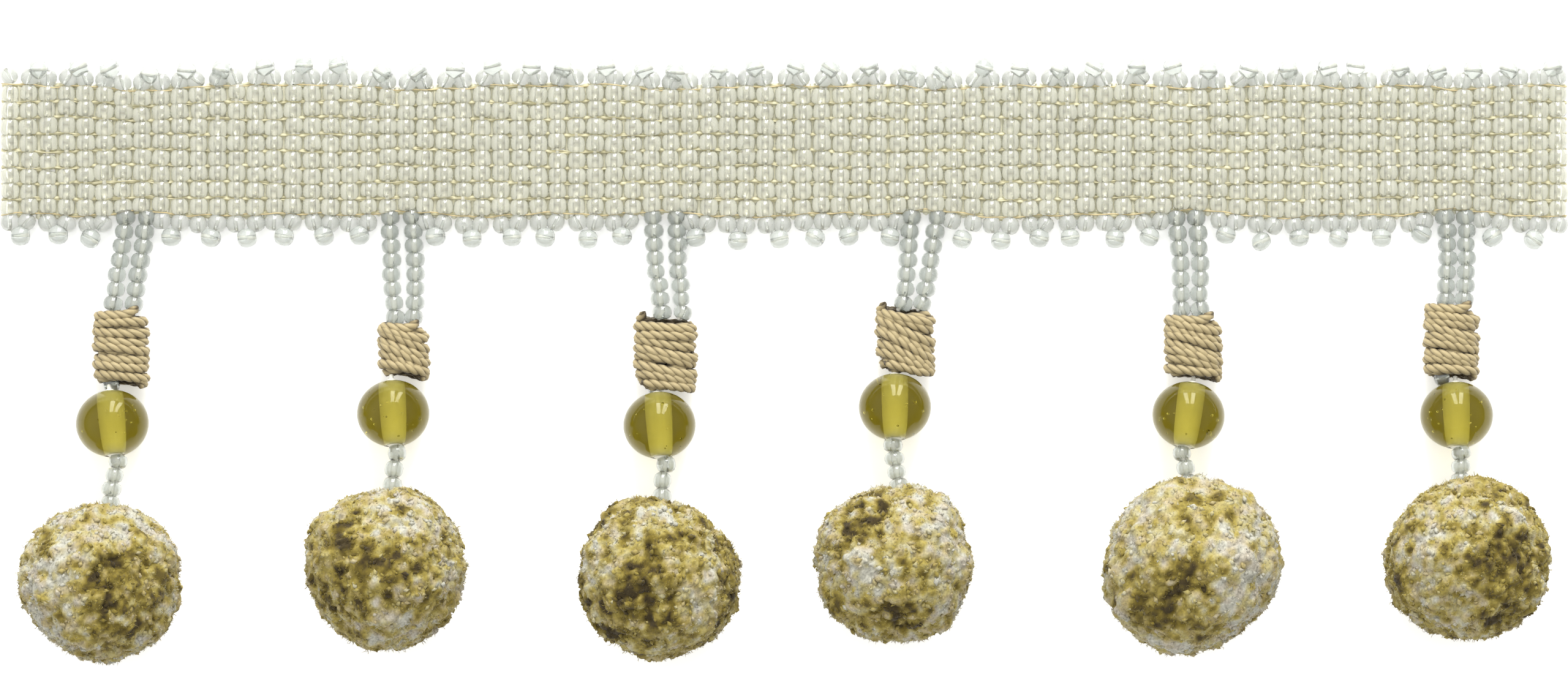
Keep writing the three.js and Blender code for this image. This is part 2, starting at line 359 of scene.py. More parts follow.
def add_node(
    tree: bpy.types.NodeTree,
    kind: str,
    settings: dict | None = None,
    values: dict | None = None,
    links: dict | None = None,
) -> bpy.types.Node:
    """Adds a node to a tree.

    Args:
        tree: the node tree.
        kind: the node's type.
        settings: properties of the node.
        values: constants for its inputs, by name or number.
        links: sockets that feed its inputs, by name or number.

    Returns:
        The node.
    """
    node = tree.nodes.new(kind)
    for name, setting in (settings or {}).items():
        setattr(node, name, setting)
    for name, value in (values or {}).items():
        node.inputs[name].default_value = value
    for name, socket in (links or {}).items():
        tree.links.new(socket, node.inputs[name])
    return node


@dataclass(frozen=True)
class Finish:
    """What the finishes share: a named material, fed by the sockets that each kind of finish works out.

    Attributes:
        name: of the material.
    """

    name: str

    def shading(self, tree: bpy.types.NodeTree) -> dict[str, Socket]:
        """Adds the finish's nodes and gives the sockets for the material's output, by name."""
        raise NotImplementedError

    def lumps(self, tree: bpy.types.NodeTree, size_mm: float, detail: float = 2.0) -> Socket:
        """Adds soft lumps of a real size, on Object coordinates.

        Args:
            tree: the node tree.
            size_mm: size of a lump.
            detail: how many times finer lumps are added.

        Returns:
            The lumps' level, mostly from NOISE_LOW to NOISE_HIGH.
        """
        place = add_node(tree, "ShaderNodeTexCoord")
        noise = add_node(
            tree, "ShaderNodeTexNoise", values={"Scale": 1 / (size_mm * MM), "Detail": detail},
            links={"Vector": place.outputs["Object"]},
        )
        return noise.outputs[0]

    def material(self) -> Material:
        """Makes the material.

        Returns:
            A material whose output takes the finish's shading.
        """
        material = bpy.data.materials.new(self.name)
        material.use_nodes = True
        material.node_tree.nodes.clear()
        add_node(material.node_tree, "ShaderNodeOutputMaterial", links=self.shading(material.node_tree))
        return material


@dataclass(frozen=True)
class SeedGlass(Finish):
    """Clear soda-lime glass, drawn as a tube, chopped and tumbled in heat: a cloudy body under a sharp skin.

    The eye gets a soft, bright body that is clearer here and milkier there, a grey bore and small sharp
    lights on the upper shoulder.

    Attributes:
        colour: of the clear glass.
        cloud_mm: size of a cloud.
        cloudy: how bright a cloud is beside the clear glass.
        transmission: share of the light that goes through.
        roughness: of the clear glass and of a cloud.
        skin: strength of the fire-polished skin.
        skin_roughness: its roughness.
        ior: index of refraction.
    """

    name: str = "clear_seed_glass"
    colour: str = "fffff1"
    cloud_mm: float = 0.9
    cloudy: float = 0.95
    transmission: float = 0.84
    roughness: tuple[float, float] = (0.12, 0.28)
    skin: float = 0.8
    skin_roughness: float = 0.03
    ior: float = 1.5

    def shading(self, tree: bpy.types.NodeTree) -> dict[str, Socket]:
        """Clouds are rougher and a little greyer than the clear glass between them.

        Args:
            tree: the node tree.

        Returns:
            The surface's socket.
        """
        cloud = self.lumps(tree, self.cloud_mm, 1.0)
        colour = add_node(
            tree, "ShaderNodeMix", {"data_type": "RGBA"},
            {6: rgba(self.colour), 7: rgba(self.colour, self.cloudy)}, {0: cloud},
        )
        clear, clouded = self.roughness
        roughness = add_node(
            tree, "ShaderNodeMapRange",
            values={"From Min": NOISE_LOW, "From Max": NOISE_HIGH, "To Min": clear, "To Max": clouded},
            links={"Value": cloud},
        )
        shader = add_node(
            tree, "ShaderNodeBsdfPrincipled",
            values={
                "IOR": self.ior, "Transmission Weight": self.transmission, "Coat Weight": self.skin,
                "Coat Roughness": self.skin_roughness,
            },
            links={"Base Color": colour.outputs[2], "Roughness": roughness.outputs[0]},
        )
        return {"Surface": shader.outputs[0]}


@dataclass(frozen=True)
class OliveGlass(Finish):
    """Lampworked olive-amber glass, full of tiny bubbles and fire-polished.

    Thick glass at the sides is dark olive, and the bore down the middle shows as a bright yellow column.

    Attributes:
        skin: colour that the surface gives to what passes it.
        tint: colour that the glass's depth lets through.
        density: how fast the depth swallows the rest, to a metre.
        roughness: of the surface.
        ior: index of refraction.
        gloss: strength of its reflections in red, green and blue.
    """

    name: str = "olive_amber_glass"
    skin: str = "f4f1cc"
    tint: str = "dcd666"
    density: float = 490.0
    roughness: float = 0.03
    ior: float = 1.5
    gloss: tuple[float, float, float] = (0.42, 0.42, 0.336)

    def shading(self, tree: bpy.types.NodeTree) -> dict[str, Socket]:
        """Clear glass whose volume swallows blue and some red and green.

        Args:
            tree: the node tree.

        Returns:
            The surface's and the volume's sockets.
        """
        shader = add_node(
            tree, "ShaderNodeBsdfPrincipled",
            values={
                "Base Color": rgba(self.skin), "Roughness": self.roughness, "IOR": self.ior,
                "Specular Tint": (*self.gloss, 1), "Transmission Weight": 1.0,
            },
        )
        volume = add_node(
            tree, "ShaderNodeVolumeAbsorption",
            values={"Color": rgba(self.tint), "Density": self.density},
        )
        return {"Surface": shader.outputs[0], "Volume": volume.outputs[0]}


@dataclass(frozen=True)
class SpunFibre(Finish):
    """Spun cotton or rayon, lying in fine strands along the thread, with painted shade in its grooves and
    bores.

    Strand widths are too fine to show, so they are drawn several times as coarse, as soft streaks.

    Attributes:
        light: colour of the lightest strands.
        dark: colour of the darkest strands.
        painted_shade_and_edge: colour of the painted shade in grooves and bores, and of the fine edge
            threads.
        streaks: streaks round the thread.
        streaks_per_mm: streaks along a millimetre of it.
        bump: strength of the relief.
        relief_mm: height of the relief.
        roughness: of the fibre.
        sheen: of the fibre.
    """

    light: str
    dark: str
    painted_shade_and_edge: str
    streaks: float = 7.0
    streaks_per_mm: float = 1.2
    bump: float = 0.25
    relief_mm: float = 0.1
    roughness: float = 0.72
    sheen: float = 0.15

    def shading(self, tree: bpy.types.NodeTree) -> dict[str, Socket]:
        """Streaks along the strand's own coordinates tint and raise it, and painted shade darkens grooves
        and bores.

        Args:
            tree: the node tree.

        Returns:
            The surface's socket.
        """
        lay = add_node(tree, "ShaderNodeAttribute", {"attribute_name": "fibre"})
        stretched = add_node(
            tree, "ShaderNodeVectorMath", {"operation": "MULTIPLY"},
            {1: (self.streaks_per_mm, self.streaks, 1.0)}, {0: lay.outputs["Vector"]},
        )
        streak = add_node(
            tree, "ShaderNodeTexNoise", values={"Scale": 1.0, "Detail": 3.0, "Roughness": 0.6},
            links={"Vector": stretched.outputs[0]},
        )
        colour = add_node(
            tree, "ShaderNodeMix", {"data_type": "RGBA"}, {6: rgba(self.dark), 7: rgba(self.light)},
            {0: streak.outputs[0]},
        )
        parts = add_node(tree, "ShaderNodeSeparateXYZ", links={0: lay.outputs["Vector"]})
        # Painted shade: the third part of the fibre attribute blends from the painted shade colour, at 0, to
        # the streaks, at 1.
        shaded = add_node(
            tree, "ShaderNodeMix", {"data_type": "RGBA"}, {6: rgba(self.painted_shade_and_edge)},
            {0: parts.outputs[2], 7: colour.outputs[2]},
        )
        bump = add_node(
            tree, "ShaderNodeBump", values={"Strength": self.bump, "Distance": self.relief_mm * MM},
            links={"Height": streak.outputs[0]},
        )
        shader = add_node(
            tree, "ShaderNodeBsdfPrincipled",
            values={"Roughness": self.roughness, "Sheen Weight": self.sheen},
            links={"Base Color": shaded.outputs[2], "Normal": bump.outputs[0]},
        )
        return {"Surface": shader.outputs[0]}


@dataclass(frozen=True)
class CutYarn(Finish):
    """Soft space-dyed yarn, cut to a ball: matt, with a little sheen at the fuzzy edge.

    Each end takes the colour of its yarn there, broken up by the plies of about a quarter of a millimetre.

    Attributes:
        grain_mm: width of a ply.
        tones: brightness of the darkest and the lightest plies, as a share of the yarn's.
        bump: strength of the plies' relief.
        relief_mm: its height.
        roughness: of the yarn.
        sheen: of the yarn.
    """

    name: str = "space_dyed_yarn"
    grain_mm: float = 0.26
    tones: tuple[float, float] = (0.72, 1.15)
    bump: float = 0.25
    relief_mm: float = 0.12
    roughness: float = 0.95
    sheen: float = 0.08

    def shading(self, tree: bpy.types.NodeTree) -> dict[str, Socket]:
        """The point's own tint, lightened and darkened by fine grain.

        Args:
            tree: the node tree.

        Returns:
            The surface's socket.
        """
        tint = add_node(tree, "ShaderNodeAttribute", {"attribute_name": "tint"})
        grain = self.lumps(tree, self.grain_mm)
        dark, light = self.tones
        level = add_node(
            tree, "ShaderNodeMapRange",
            values={"From Min": NOISE_LOW, "From Max": NOISE_HIGH, "To Min": dark, "To Max": light},
            links={"Value": grain},
        )
        colour = add_node(
            tree, "ShaderNodeVectorMath", {"operation": "SCALE"},
            links={0: tint.outputs["Color"], "Scale": level.outputs[0]},
        )
        bump = add_node(
            tree, "ShaderNodeBump", values={"Strength": self.bump, "Distance": self.relief_mm * MM},
            links={"Height": grain},
        )
        shader = add_node(
            tree, "ShaderNodeBsdfPrincipled",
            values={"Roughness": self.roughness, "Sheen Weight": self.sheen},
            links={"Base Color": colour.outputs[0], "Normal": bump.outputs[0]},
        )
        return {"Surface": shader.outputs[0]}


@dataclass(frozen=True)
class LightTable(Finish):
    """A sheet of opal acrylic with a faint tooth, lit from below, as under glass that is to look clear.

    The eye gets an even white with hardly a shadow.

    Attributes:
        colour: of the sheet.
        tooth_mm: size of its tooth.
        bump: strength of the tooth's relief.
        relief_mm: its height.
        roughness: of the sheet.
        gloss: strength of its reflections.
        glow: strength of the light from below.
    """

    name: str = "opal_light_table"
    colour: str = "f7f7f5"
    tooth_mm: float = 1.5
    bump: float = 0.02
    relief_mm: float = 0.1
    roughness: float = 0.9
    gloss: float = 0.2
    glow: float = 0.3

    def shading(self, tree: bpy.types.NodeTree) -> dict[str, Socket]:
        """A plain, softly glowing white with a very fine bump.

        Args:
            tree: the node tree.

        Returns:
            The surface's socket.
        """
        bump = add_node(
            tree, "ShaderNodeBump", values={"Strength": self.bump, "Distance": self.relief_mm * MM},
            links={"Height": self.lumps(tree, self.tooth_mm)},
        )
        shader = add_node(
            tree, "ShaderNodeBsdfPrincipled",
            values={
                "Base Color": rgba(self.colour), "Roughness": self.roughness,
                "Specular IOR Level": self.gloss, "Emission Color": (1, 1, 1, 1),
                "Emission Strength": self.glow,
            },
            links={"Normal": bump.outputs[0]},
        )
        return {"Surface": shader.outputs[0]}


def node_points(node: str) -> Array:
    """The points of a CAD node, each once.

    Args:
        node: its name.

    Returns:
        Places in millimetres, one row each.
    """
    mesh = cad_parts[node].data
    flat = np.empty(3 * len(mesh.vertices))
    mesh.vertices.foreach_get("co", flat)
    return np.unique(flat.reshape(-1, 3).round(7), axis=0) / MM


def node_box(node: str) -> tuple[Array, Array]:
    """The lowest and highest corner of a CAD node, in millimetres."""
    low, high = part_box(node)
    return np.array(low) / MM, np.array(high) / MM


@dataclass
class MiddleLine:
    """The middle of a CAD strand that runs down Y: x and z as curves of y, fitted to the node's points.

    Attributes:
        node: the CAD node.
        degree: of the two curves.
        top: the strand's highest y.
        bottom: its lowest y.
        x_curve: factors of x as a curve of y.
        z_curve: factors of z as a curve of y.
    """

    node: str
    degree: int = 2
    top: float = field(init=False)
    bottom: float = field(init=False)
    x_curve: Array = field(init=False)
    z_curve: Array = field(init=False)

    def __post_init__(self) -> None:
        """Fits the curves."""
        points = node_points(self.node)
        self.bottom, self.top = points[:, 1].min(), points[:, 1].max()
        self.x_curve = np.polyfit(points[:, 1], points[:, 0], self.degree)
        self.z_curve = np.polyfit(points[:, 1], points[:, 2], self.degree)

    def at(self, y: Array | float) -> Array:
        """Points of the line at heights y."""
        y = np.asarray(y, float)
        return np.stack([np.polyval(self.x_curve, y), y, np.polyval(self.z_curve, y)], -1)


@dataclass(frozen=True)
class SeedBead:
    """A size 11/0 seed bead: a short tube of glass with rounded ends and a thread hole.

    Attributes:
        diameter: across the bead.
        length: along its hole.
        hole: diameter of the hole.
        shoulder: width of its flat ends, as a share of the diameter.
        sides: points round it.
        dish: height of the hole's rim, as a share of half the length.
        rounding: height of the middle of an end's rounding, as the same share.
        belly: height where the straight belly ends, as the same share.
        bend: how much of the bead's radius and of its flat end's make the radius of the rounding's middle.
    """

    diameter: float = 2.06
    length: float = 1.6
    hole: float = 0.46
    shoulder: float = 0.66
    sides: int = 10
    dish: float = 0.88
    rounding: float = 0.76
    belly: float = 0.25
    bend: tuple[float, float] = (0.57, 0.5)

    def model(self) -> Surface:
        """The bead on the Z axis.

        Returns:
            A ring whose profile runs up the outside, with a broad belly and rounded ends, and down the hole.
        """
        r, h = self.diameter / 2, self.length / 2
        rim = [self.hole / 2, -self.dish * h]
        end = [self.shoulder * r, -h]
        out = self.bend[0] + self.bend[1] * self.shoulder
        lower = np.array([rim, end, [out * r, -self.rounding * h], [r, -self.belly * h]])
        upper = lower[::-1] * np.array([1.0, -1.0])
        return turned(np.vstack([lower, upper]), self.sides)


class Edge(Enum):
    """The band's long edges, by the way that they face along Y."""

    UPPER = 1
    LOWER = -1


@dataclass(frozen=True)
class Unevenness:
    """How unevenly the band's beads lie: the usual spread of each measure, in mm, degrees or shares.

    Attributes:
        woven: of a woven bead's x, y and z.
        fit: of a woven bead's length, as a share of its room.
        fit_limits: the shortest and the longest fit.
        tilt: of a bead's axis.
        width: of a bead's width, as a share.
        width_limits: the narrowest and the widest.
        base_lean: of the lean of a picot's lower bead.
        base: of its x and y.
        tip_turn: of the turn of a picot's tip.
        tip: of its x, y and z.
    """

    woven: tuple[float, float, float] = (0.05, 0.07, 0.07)
    fit: float = 0.05
    fit_limits: tuple[float, float] = (0.84, 1.04)
    tilt: float = 0.09
    width: float = 0.035
    width_limits: tuple[float, float] = (0.9, 1.05)
    base_lean: float = 12.0
    base: tuple[float, float] = (0.06, 0.05)
    tip_turn: float = 20.0
    tip: tuple[float, float, float] = (0.32, 0.16, 0.1)


@dataclass
class Band:
    """The woven band: columns of seed beads on wefts, warp threads between the rows, and picot edges.

    Attributes:
        drops: x of each drop's middle, where its pull draws the edges in.
        seed: of the small unevenness.
        columns: of beads.
        pitch: from column to column.
        rows: beads in a column.
        height: between the edge threads.
        lift: of the weave's middle above the middle of the CAD band, whose lower picots hang longer.
        pinch: how far a drop draws an edge in.
        pinch_reach: how far along the band it does.
        drop_room: how close to a drop's middle a column runs on into its leg, in pitches.
        sway: height, reach and shift from row to row of the two waves that a row wanders in.
        level: height of the beads' middles above the table.
        fit: length of a woven bead, as a share of its room.
        base_rise: of a picot's lower beads off the edge thread.
        base_length: their length, as a share of the bead's.
        base_lean: how far they lean to each other, in degrees.
        base_shift: how far that moves their middles, for a full lean.
        tip_rise: of the tips off the upper and the lower edge's thread.
        tip_level: of the tips above the other beads.
        tip_width: their width, as a share of the bead's.
        tip_length: their length, as a share of the bead's.
        tip_thread: thickness of the thread in a tip.
        tip_reach: half of that thread's length.
        thread_sides: points round a thread.
        warp_sides: points round a warp.
        front_thread: thickness of a warp over the wefts.
        back_thread: thickness of a warp under the wefts.
        overhang: of the warps beyond the outer columns' middles.
        seat: height of a warp off the beads' middles.
        edge_seat: how much more it is at the edges.
        bead_rise: how far a warp rises and falls from column to column.
        pair_rise: how far it does for every second column.
        slow_rise: height of the slow wave in a warp's height, and its length in columns.
        weave: height and length in columns of the three waves that take a warp from side to side.
        weft: thickness of the weft.
        weft_painted_shading: how pale the weft is painted where two beads meet, and at each quarter of a
            bead from there; its dark middle is painted shade in the bore.
        ground: thickness of the ground's cotton.
        ground_level: height of the ground above the table.
        ground_waves: height and rate of its waves from side to side, and up and down.
        ground_overhang: of the ground beyond the edge threads.
        uneven: how unevenly the beads lie.
        bead: the woven bead.
        edge_bead: the picots' bead.
    """

    drops: Array
    seed: int = 11
    columns: int = 83
    pitch: float = 2.09
    rows: int = 8
    height: float = 14.3
    lift: float = 0.2
    pinch: float = 0.5
    pinch_reach: float = 4.0
    drop_room: float = 0.8
    sway: tuple[tuple[float, float, float], ...] = ((0.13, 5.1, 0.7), (0.1, 2.3, -1.3))
    level: float = 1.05
    fit: float = 0.98
    base_rise: float = 0.93
    base_length: float = 1.14
    base_lean: float = 13.0
    base_shift: float = 0.35
    tip_rise: tuple[float, float] = (2.0, 2.5)
    tip_level: float = 0.3
    tip_width: float = 1.02
    tip_length: float = 1.28
    tip_thread: float = 0.32
    tip_reach: float = 0.9
    thread_sides: int = 6
    warp_sides: int = 4
    front_thread: float = 0.13
    back_thread: float = 0.4
    overhang: float = 0.9
    seat: float = 0.16
    edge_seat: float = 0.256
    bead_rise: float = 0.1
    pair_rise: float = 0.16
    slow_rise: tuple[float, float] = (0.14, 7.3)
    weave: tuple[tuple[float, float], ...] = ((0.08, 2.0), (0.07, 5.3), (0.05, 3.1))
    weft: float = 0.54
    weft_painted_shading: tuple[float, float, float, float] = (1.0, 0.8, 0.0, 0.55)
    ground: float = 0.68
    ground_level: float = 0.37
    ground_waves: tuple[tuple[float, float], tuple[float, float]] = ((0.06, 9.0), (0.03, 25.0))
    ground_overhang: float = 0.3
    uneven: Unevenness = Unevenness()
    bead: SeedBead = SeedBead()
    edge_bead: SeedBead = SeedBead(hole=0.3, shoulder=0.48, sides=12)

    def __post_init__(self) -> None:
        """Takes the weave's middle from the band's CAD box and places the picots' tips."""
        low, high = node_box("band")
        self.middle = (low[1] + high[1]) / 2 + self.lift
        self.rng = np.random.default_rng(self.seed)
        self.tips = {edge: self.tip_places(edge) for edge in Edge}

    def column_x(self, column: Array | float) -> Array:
        """x of a column's middle."""
        return (np.asarray(column, float) - (self.columns - 1) / 2) * self.pitch

    def half_height(self, x: Array | float) -> Array:
        """Half of the band's height at x, less what the drops' pulls draw in, a bell round each drop."""
        away = (np.asarray(x, float)[..., None] - self.drops) / self.pinch_reach
        return self.height / 2 - self.pinch * np.exp(-(away**2)).sum(-1)

    def wander(self, x: Array, row: Array | float) -> Array:
        """How far a row wanders up or down along the band: two slow waves that differ from row to row."""
        return sum(height * np.sin(x / reach + shift * row) for height, reach, shift in self.sway)

    def row_y(self, x: Array, row: Array | float) -> Array:
        """y at x of a row, counted in beads from the lower edge thread."""
        return self.middle + self.half_height(x) * (2 * row / self.rows - 1) + self.wander(x, row)

    def off_edge(self, x: Array, edge: Edge, rise: float, stray: Array) -> Array:
        """y at x of beads that stand off an edge's thread.

        Args:
            x: along the band.
            edge: the edge.
            rise: how far the beads stand off its thread.
            stray: how much further each stands.

        Returns:
            One y for each x.
        """
        row = float(self.rows) if edge is Edge.UPPER else 0.0
        thread = self.half_height(x) + edge.value * self.wander(x, row)
        return self.middle + edge.value * (thread + rise + stray)

    def free(self, column: Array, edge: Edge) -> Array:
        """Those of the columns that don't run on into a drop's leg at the edge."""
        from_drops = np.abs(self.column_x(column)[..., None] - self.drops)
        return column if edge is Edge.UPPER else column[~(from_drops < self.drop_room * self.pitch).any(-1)]

    def beads_at(
        self, bead: SeedBead, places: Array, axes: Array, width: float, length: Array | float
    ) -> Surface:
        """Seed beads at places, each a little uneven in size and tilt.

        Args:
            bead: the bead that is repeated.
            places: centres.
            axes: directions of the holes.
            width: scale across the hole.
            length: scale along the hole.

        Returns:
            The beads.
        """
        count = len(places)
        tilt = self.rng.normal(0, self.uneven.tilt, (count, 3))
        spread = self.rng.normal(1, self.uneven.width, count)
        widths = width * np.clip(spread, *self.uneven.width_limits)
        return copies(bead.model(), places, unit(axes) + tilt, widths, np.broadcast_to(length, count))

    def woven_beads(self) -> Surface:
        """The beads between the edge threads.

        Returns:
            A bead for every row of every column, each as long as its room, more or less.
        """
        column, row = np.meshgrid(np.arange(self.columns), np.arange(self.rows) + 0.5, indexing="ij")
        column, row = column.ravel(), row.ravel()
        count = len(column)
        stray_x, stray_y, stray_z = self.uneven.woven
        x = self.column_x(column) + self.rng.normal(0, stray_x, count)
        y = self.row_y(x, row) + self.rng.normal(0, stray_y, count)
        z = self.level + np.abs(self.rng.normal(0, stray_z, count))
        room = 2 * self.half_height(x) / self.rows
        fit = np.clip(self.rng.normal(self.fit, self.uneven.fit, count), *self.uneven.fit_limits)
        axes = np.tile([0.0, 1.0, 0.0], (count, 1))
        return self.beads_at(self.bead, np.stack([x, y, z], 1), axes, 1.0, room / self.bead.length * fit)

    def picot_bases(self, edge: Edge) -> Surface:
        """The lower beads of one edge's picots.

        Args:
            edge: the edge.

        Returns:
            A bead on every free column, leaning to its partner: to the right on odd columns of the upper
            edge and on even ones of the lower edge.
        """
        column = self.free(np.arange(self.columns), edge)
        count = len(column)
        stray_x, stray_y = self.uneven.base
        way = np.where(column % 2 == (1 if edge is Edge.UPPER else 0), 1.0, -1.0)
        lean = way * np.radians(self.base_lean + self.rng.normal(0, self.uneven.base_lean, count))
        x = self.column_x(column) + self.base_shift * np.sin(lean) + self.rng.normal(0, stray_x, count)
        y = self.off_edge(x, edge, self.base_rise, self.rng.normal(0, stray_y, count))
        places = np.stack([x, y, np.full(count, self.level)], 1)
        axes = np.stack([np.sin(lean), edge.value * np.cos(lean), np.zeros(count)], 1)
        return self.beads_at(self.edge_bead, places, axes, 1.0, self.base_length)

    def tip_places(self, edge: Edge) -> tuple[Array, Array]:
        """Where the tips of one edge's picots lie: across each pair of columns, some turned or pushed aside.

        Args:
            edge: the edge.

        Returns:
            Their middles and the directions of their holes.
        """
        pair = self.free(np.arange(1 if edge is Edge.UPPER else 0, self.columns - 1, 2), edge)
        count = len(pair)
        stray_x, stray_y, stray_z = self.uneven.tip
        rise = self.tip_rise[0 if edge is Edge.UPPER else 1]
        turn = np.radians(self.rng.normal(0, self.uneven.tip_turn, count))
        x = self.column_x(pair + 0.5) + self.rng.normal(0, stray_x, count)
        y = self.off_edge(x, edge, rise, self.rng.normal(0, stray_y, count))
        z = self.level + self.rng.normal(self.tip_level, stray_z, count)
        return np.stack([x, y, z], 1), np.stack([np.cos(turn), np.sin(turn), np.zeros(count)], 1)

    def picot_tips(self, edge: Edge) -> Surface:
        """The beads at the tips of one edge's picots."""
        return self.beads_at(self.edge_bead, *self.tips[edge], self.tip_width, self.tip_length)

    def warp_threads(self) -> Surface:
        """Two threads along each boundary of rows: a fine one over the wefts and a thick one under them.

        A thread's height follows the beads it lies on, with one wave for each column and one for every
        second column, and slower waves take it up and down and from side to side. The fine edge threads take
        the finish's edge colour all along.

        Returns:
            The threads.
        """
        first, last = self.column_x(0), self.column_x(self.columns - 1)
        x = np.linspace(first - self.overhang, last + self.overhang, 4 * self.columns + 1)
        turn = TURN * (x - first) / self.pitch
        threads = []
        for row in range(self.rows + 1):
            is_edge = row in (0, self.rows)
            for side, size in ((1, self.front_thread), (-1, self.back_thread)):
                phase = self.rng.uniform(0, TURN, 4)
                rise = self.seat + (self.edge_seat if is_edge else 0.0)
                rise = rise + self.bead_rise * np.cos(turn)
                rise += self.pair_rise * np.cos(turn / 2 + row * math.pi)
                rise += self.slow_rise[0] * np.sin(turn / self.slow_rise[1] + phase[0])
                aside = sum(high * np.sin(turn / long + p) for (high, long), p in zip(self.weave, phase[1:]))
                path = np.stack([x, self.row_y(x, float(row)) + aside, self.level + side * rise], 1)
                thread = tube(path, size / 2, self.warp_sides)
                if is_edge and side > 0:
                    thread.fibre[:, 2] = 0.0
                threads.append(thread)
        return Surface.joined(threads)

    def ground_threads(self) -> Surface:
        """The cotton that fills the valley under every two columns.

        Returns:
            Threads from edge to edge, gently wavy from side to side and up and down.
        """
        step = np.linspace(-1, 1, 25)
        (aside, aside_rate), (ripple, ripple_rate) = self.ground_waves
        threads = []
        for x in self.column_x(np.arange(self.columns + 1) - 0.5)[1:-1]:
            phase = self.rng.uniform(0, TURN)
            y = self.middle + step * (self.half_height(x) + self.ground_overhang)
            z = self.ground_level + ripple * np.cos(ripple_rate * step)
            path = np.stack([x + aside * np.sin(aside_rate * step + phase), y, z], 1)
            threads.append(tube(path, self.ground / 2, self.thread_sides))
        return Surface.joined(threads)

    def weft_threads(self) -> Surface:
        """The weft down the holes of every column, with painted shade inside a hole and pale where two beads
        meet.

        Returns:
            A thread for every column, with four points to a bead.
        """
        quarter = np.arange(4 * self.rows + 1)
        shade = np.array(self.weft_painted_shading)[quarter % 4]
        threads = []
        for x in self.column_x(np.arange(self.columns)):
            along = np.full(len(quarter), x)
            path = np.stack([along, self.row_y(along, quarter / 4), np.full(len(quarter), self.level)], 1)
            thread = tube(path, self.weft / 2, self.thread_sides)
            # Painted shade: the weft darkens towards each bead's middle, for the shade in the bore.
            thread.fibre[:, 2] = np.concatenate([np.repeat(shade, self.thread_sides), [1, 1]])
            threads.append(thread)
        return Surface.joined(threads)

    def picot_threads(self) -> Surface:
        """The thread in the hole of every picot's tip.

        Returns:
            Short, straight threads along the tips' holes.
        """
        step = self.tip_reach * np.linspace(-1, 1, 4)[:, None]
        places, axes = (np.concatenate(both) for both in zip(*self.tips.values()))
        paths = [place + step * axis for place, axis in zip(places, axes)]
        return Surface.joined([tube(path, self.tip_thread / 2, self.thread_sides) for path in paths])

    def build(
        self,
        glass: Material,
        edge_glass_painted_shade: Material,
        tip_glass_painted_shade: Material,
        cotton: Material,
        straw: Material,
        waxed: Material,
    ) -> None:
        """Builds and dresses the band.

        Args:
            glass: the woven beads' finish.
            edge_glass_painted_shade: the finish of the picots' lower beads, the clear glass greyed as
                painted shade.
            tip_glass_painted_shade: the finish of their tips, greyed the same way.
            cotton: the ground's finish.
            straw: the warp's finish.
            waxed: the weft's finish, and that of the picots' threads.
        """
        self.woven_beads().piece("woven_beads", glass, Slot.SEED_BEADS, ["band"])
        bases = Surface.joined([self.picot_bases(edge) for edge in Edge])
        bases.piece("picot_bases", edge_glass_painted_shade, Slot.SEED_BEADS, ["band"])
        tips = Surface.joined([self.picot_tips(edge) for edge in Edge])
        tips.piece("picot_tips", tip_glass_painted_shade, Slot.SEED_BEADS, ["band"])
        self.warp_threads().piece("warp_threads", straw, Slot.THREAD, [])
        self.ground_threads().piece("ground_threads", cotton, Slot.THREAD, [])
        self.weft_threads().piece("weft_threads", waxed, Slot.THREAD, [])
        self.picot_threads().piece("picot_threads", waxed, Slot.THREAD, [])


class Yarn(Enum):
    """Stretches of the space-dyed yarn, from its darkest dye to undyed white."""

    DARK = "362a06"
    OLIVE = "6a5b18"
    GOLD = "958640"
    CREAM = "a69d72"
    WHITE = "adab9d"

    @property
    def level(self) -> float:
        """Where the stretch stands between the darkest, 0, and the lightest, 1."""
        return list(Yarn).index(self) / (len(Yarn) - 1)

    @staticmethod
    def ramp(level: Array) -> Array:
        """Blends the colours of neighbouring stretches.

        Args:
            level: from the darkest, 0, to the lightest, 1.

        Returns:
            A linear colour for each level.
        """
        stops = np.array([linear(stretch.value) for stretch in Yarn])
        place = np.linspace(0, 1, len(stops))
        return np.stack([np.interp(level, place, stops[:, i]) for i in range(3)], -1)


@dataclass(frozen=True)
class Patch:
    """A place on a pompom's face where one stretch of yarn comes to the surface.

    Attributes:
        x: across the face, from -1 to 1.
        y: up the face, from -1 to 1.
        spread: its reach, as a share of the radius.
        yarn: what shows there.
    """

    x: float
    y: float
    spread: float
    yarn: Yarn

    def middle(self) -> Array:
        """The direction from the pompom's centre to the patch."""
        return np.array([self.x, self.y, math.sqrt(max(0.0, 1 - self.x**2 - self.y**2))])


class Tail(Enum):
    """Where the upper end of a wrap's cord sticks out: the angle round the wrap where it starts."""

    LEFT = 0.8 * math.pi
    RIGHT = 0.25 * math.pi


@dataclass(frozen=True)
class DropLook:
    """What one drop shows beyond the places of its CAD nodes.

    Attributes:
        slope: how far the wrap's turns fall to the right, in degrees, at its top and at its bottom.
        tail: where the cord's upper end sticks out.
        peeks: whether a seed bead shows under the wrap.
        legs: how far the left and the right leg stand right of their lines, at the band and at the wrap.
        neck_sway: how far each neck bead stands to the right of the line.
        tone: how light the yarn is between its patches.
        patches: the yarn's patches.
    """

    slope: tuple[float, float]
    tail: Tail
    peeks: bool
    legs: tuple[tuple[float, float], tuple[float, float]]
    neck_sway: tuple[float, float, float]
    tone: float
    patches: tuple[Patch, ...]
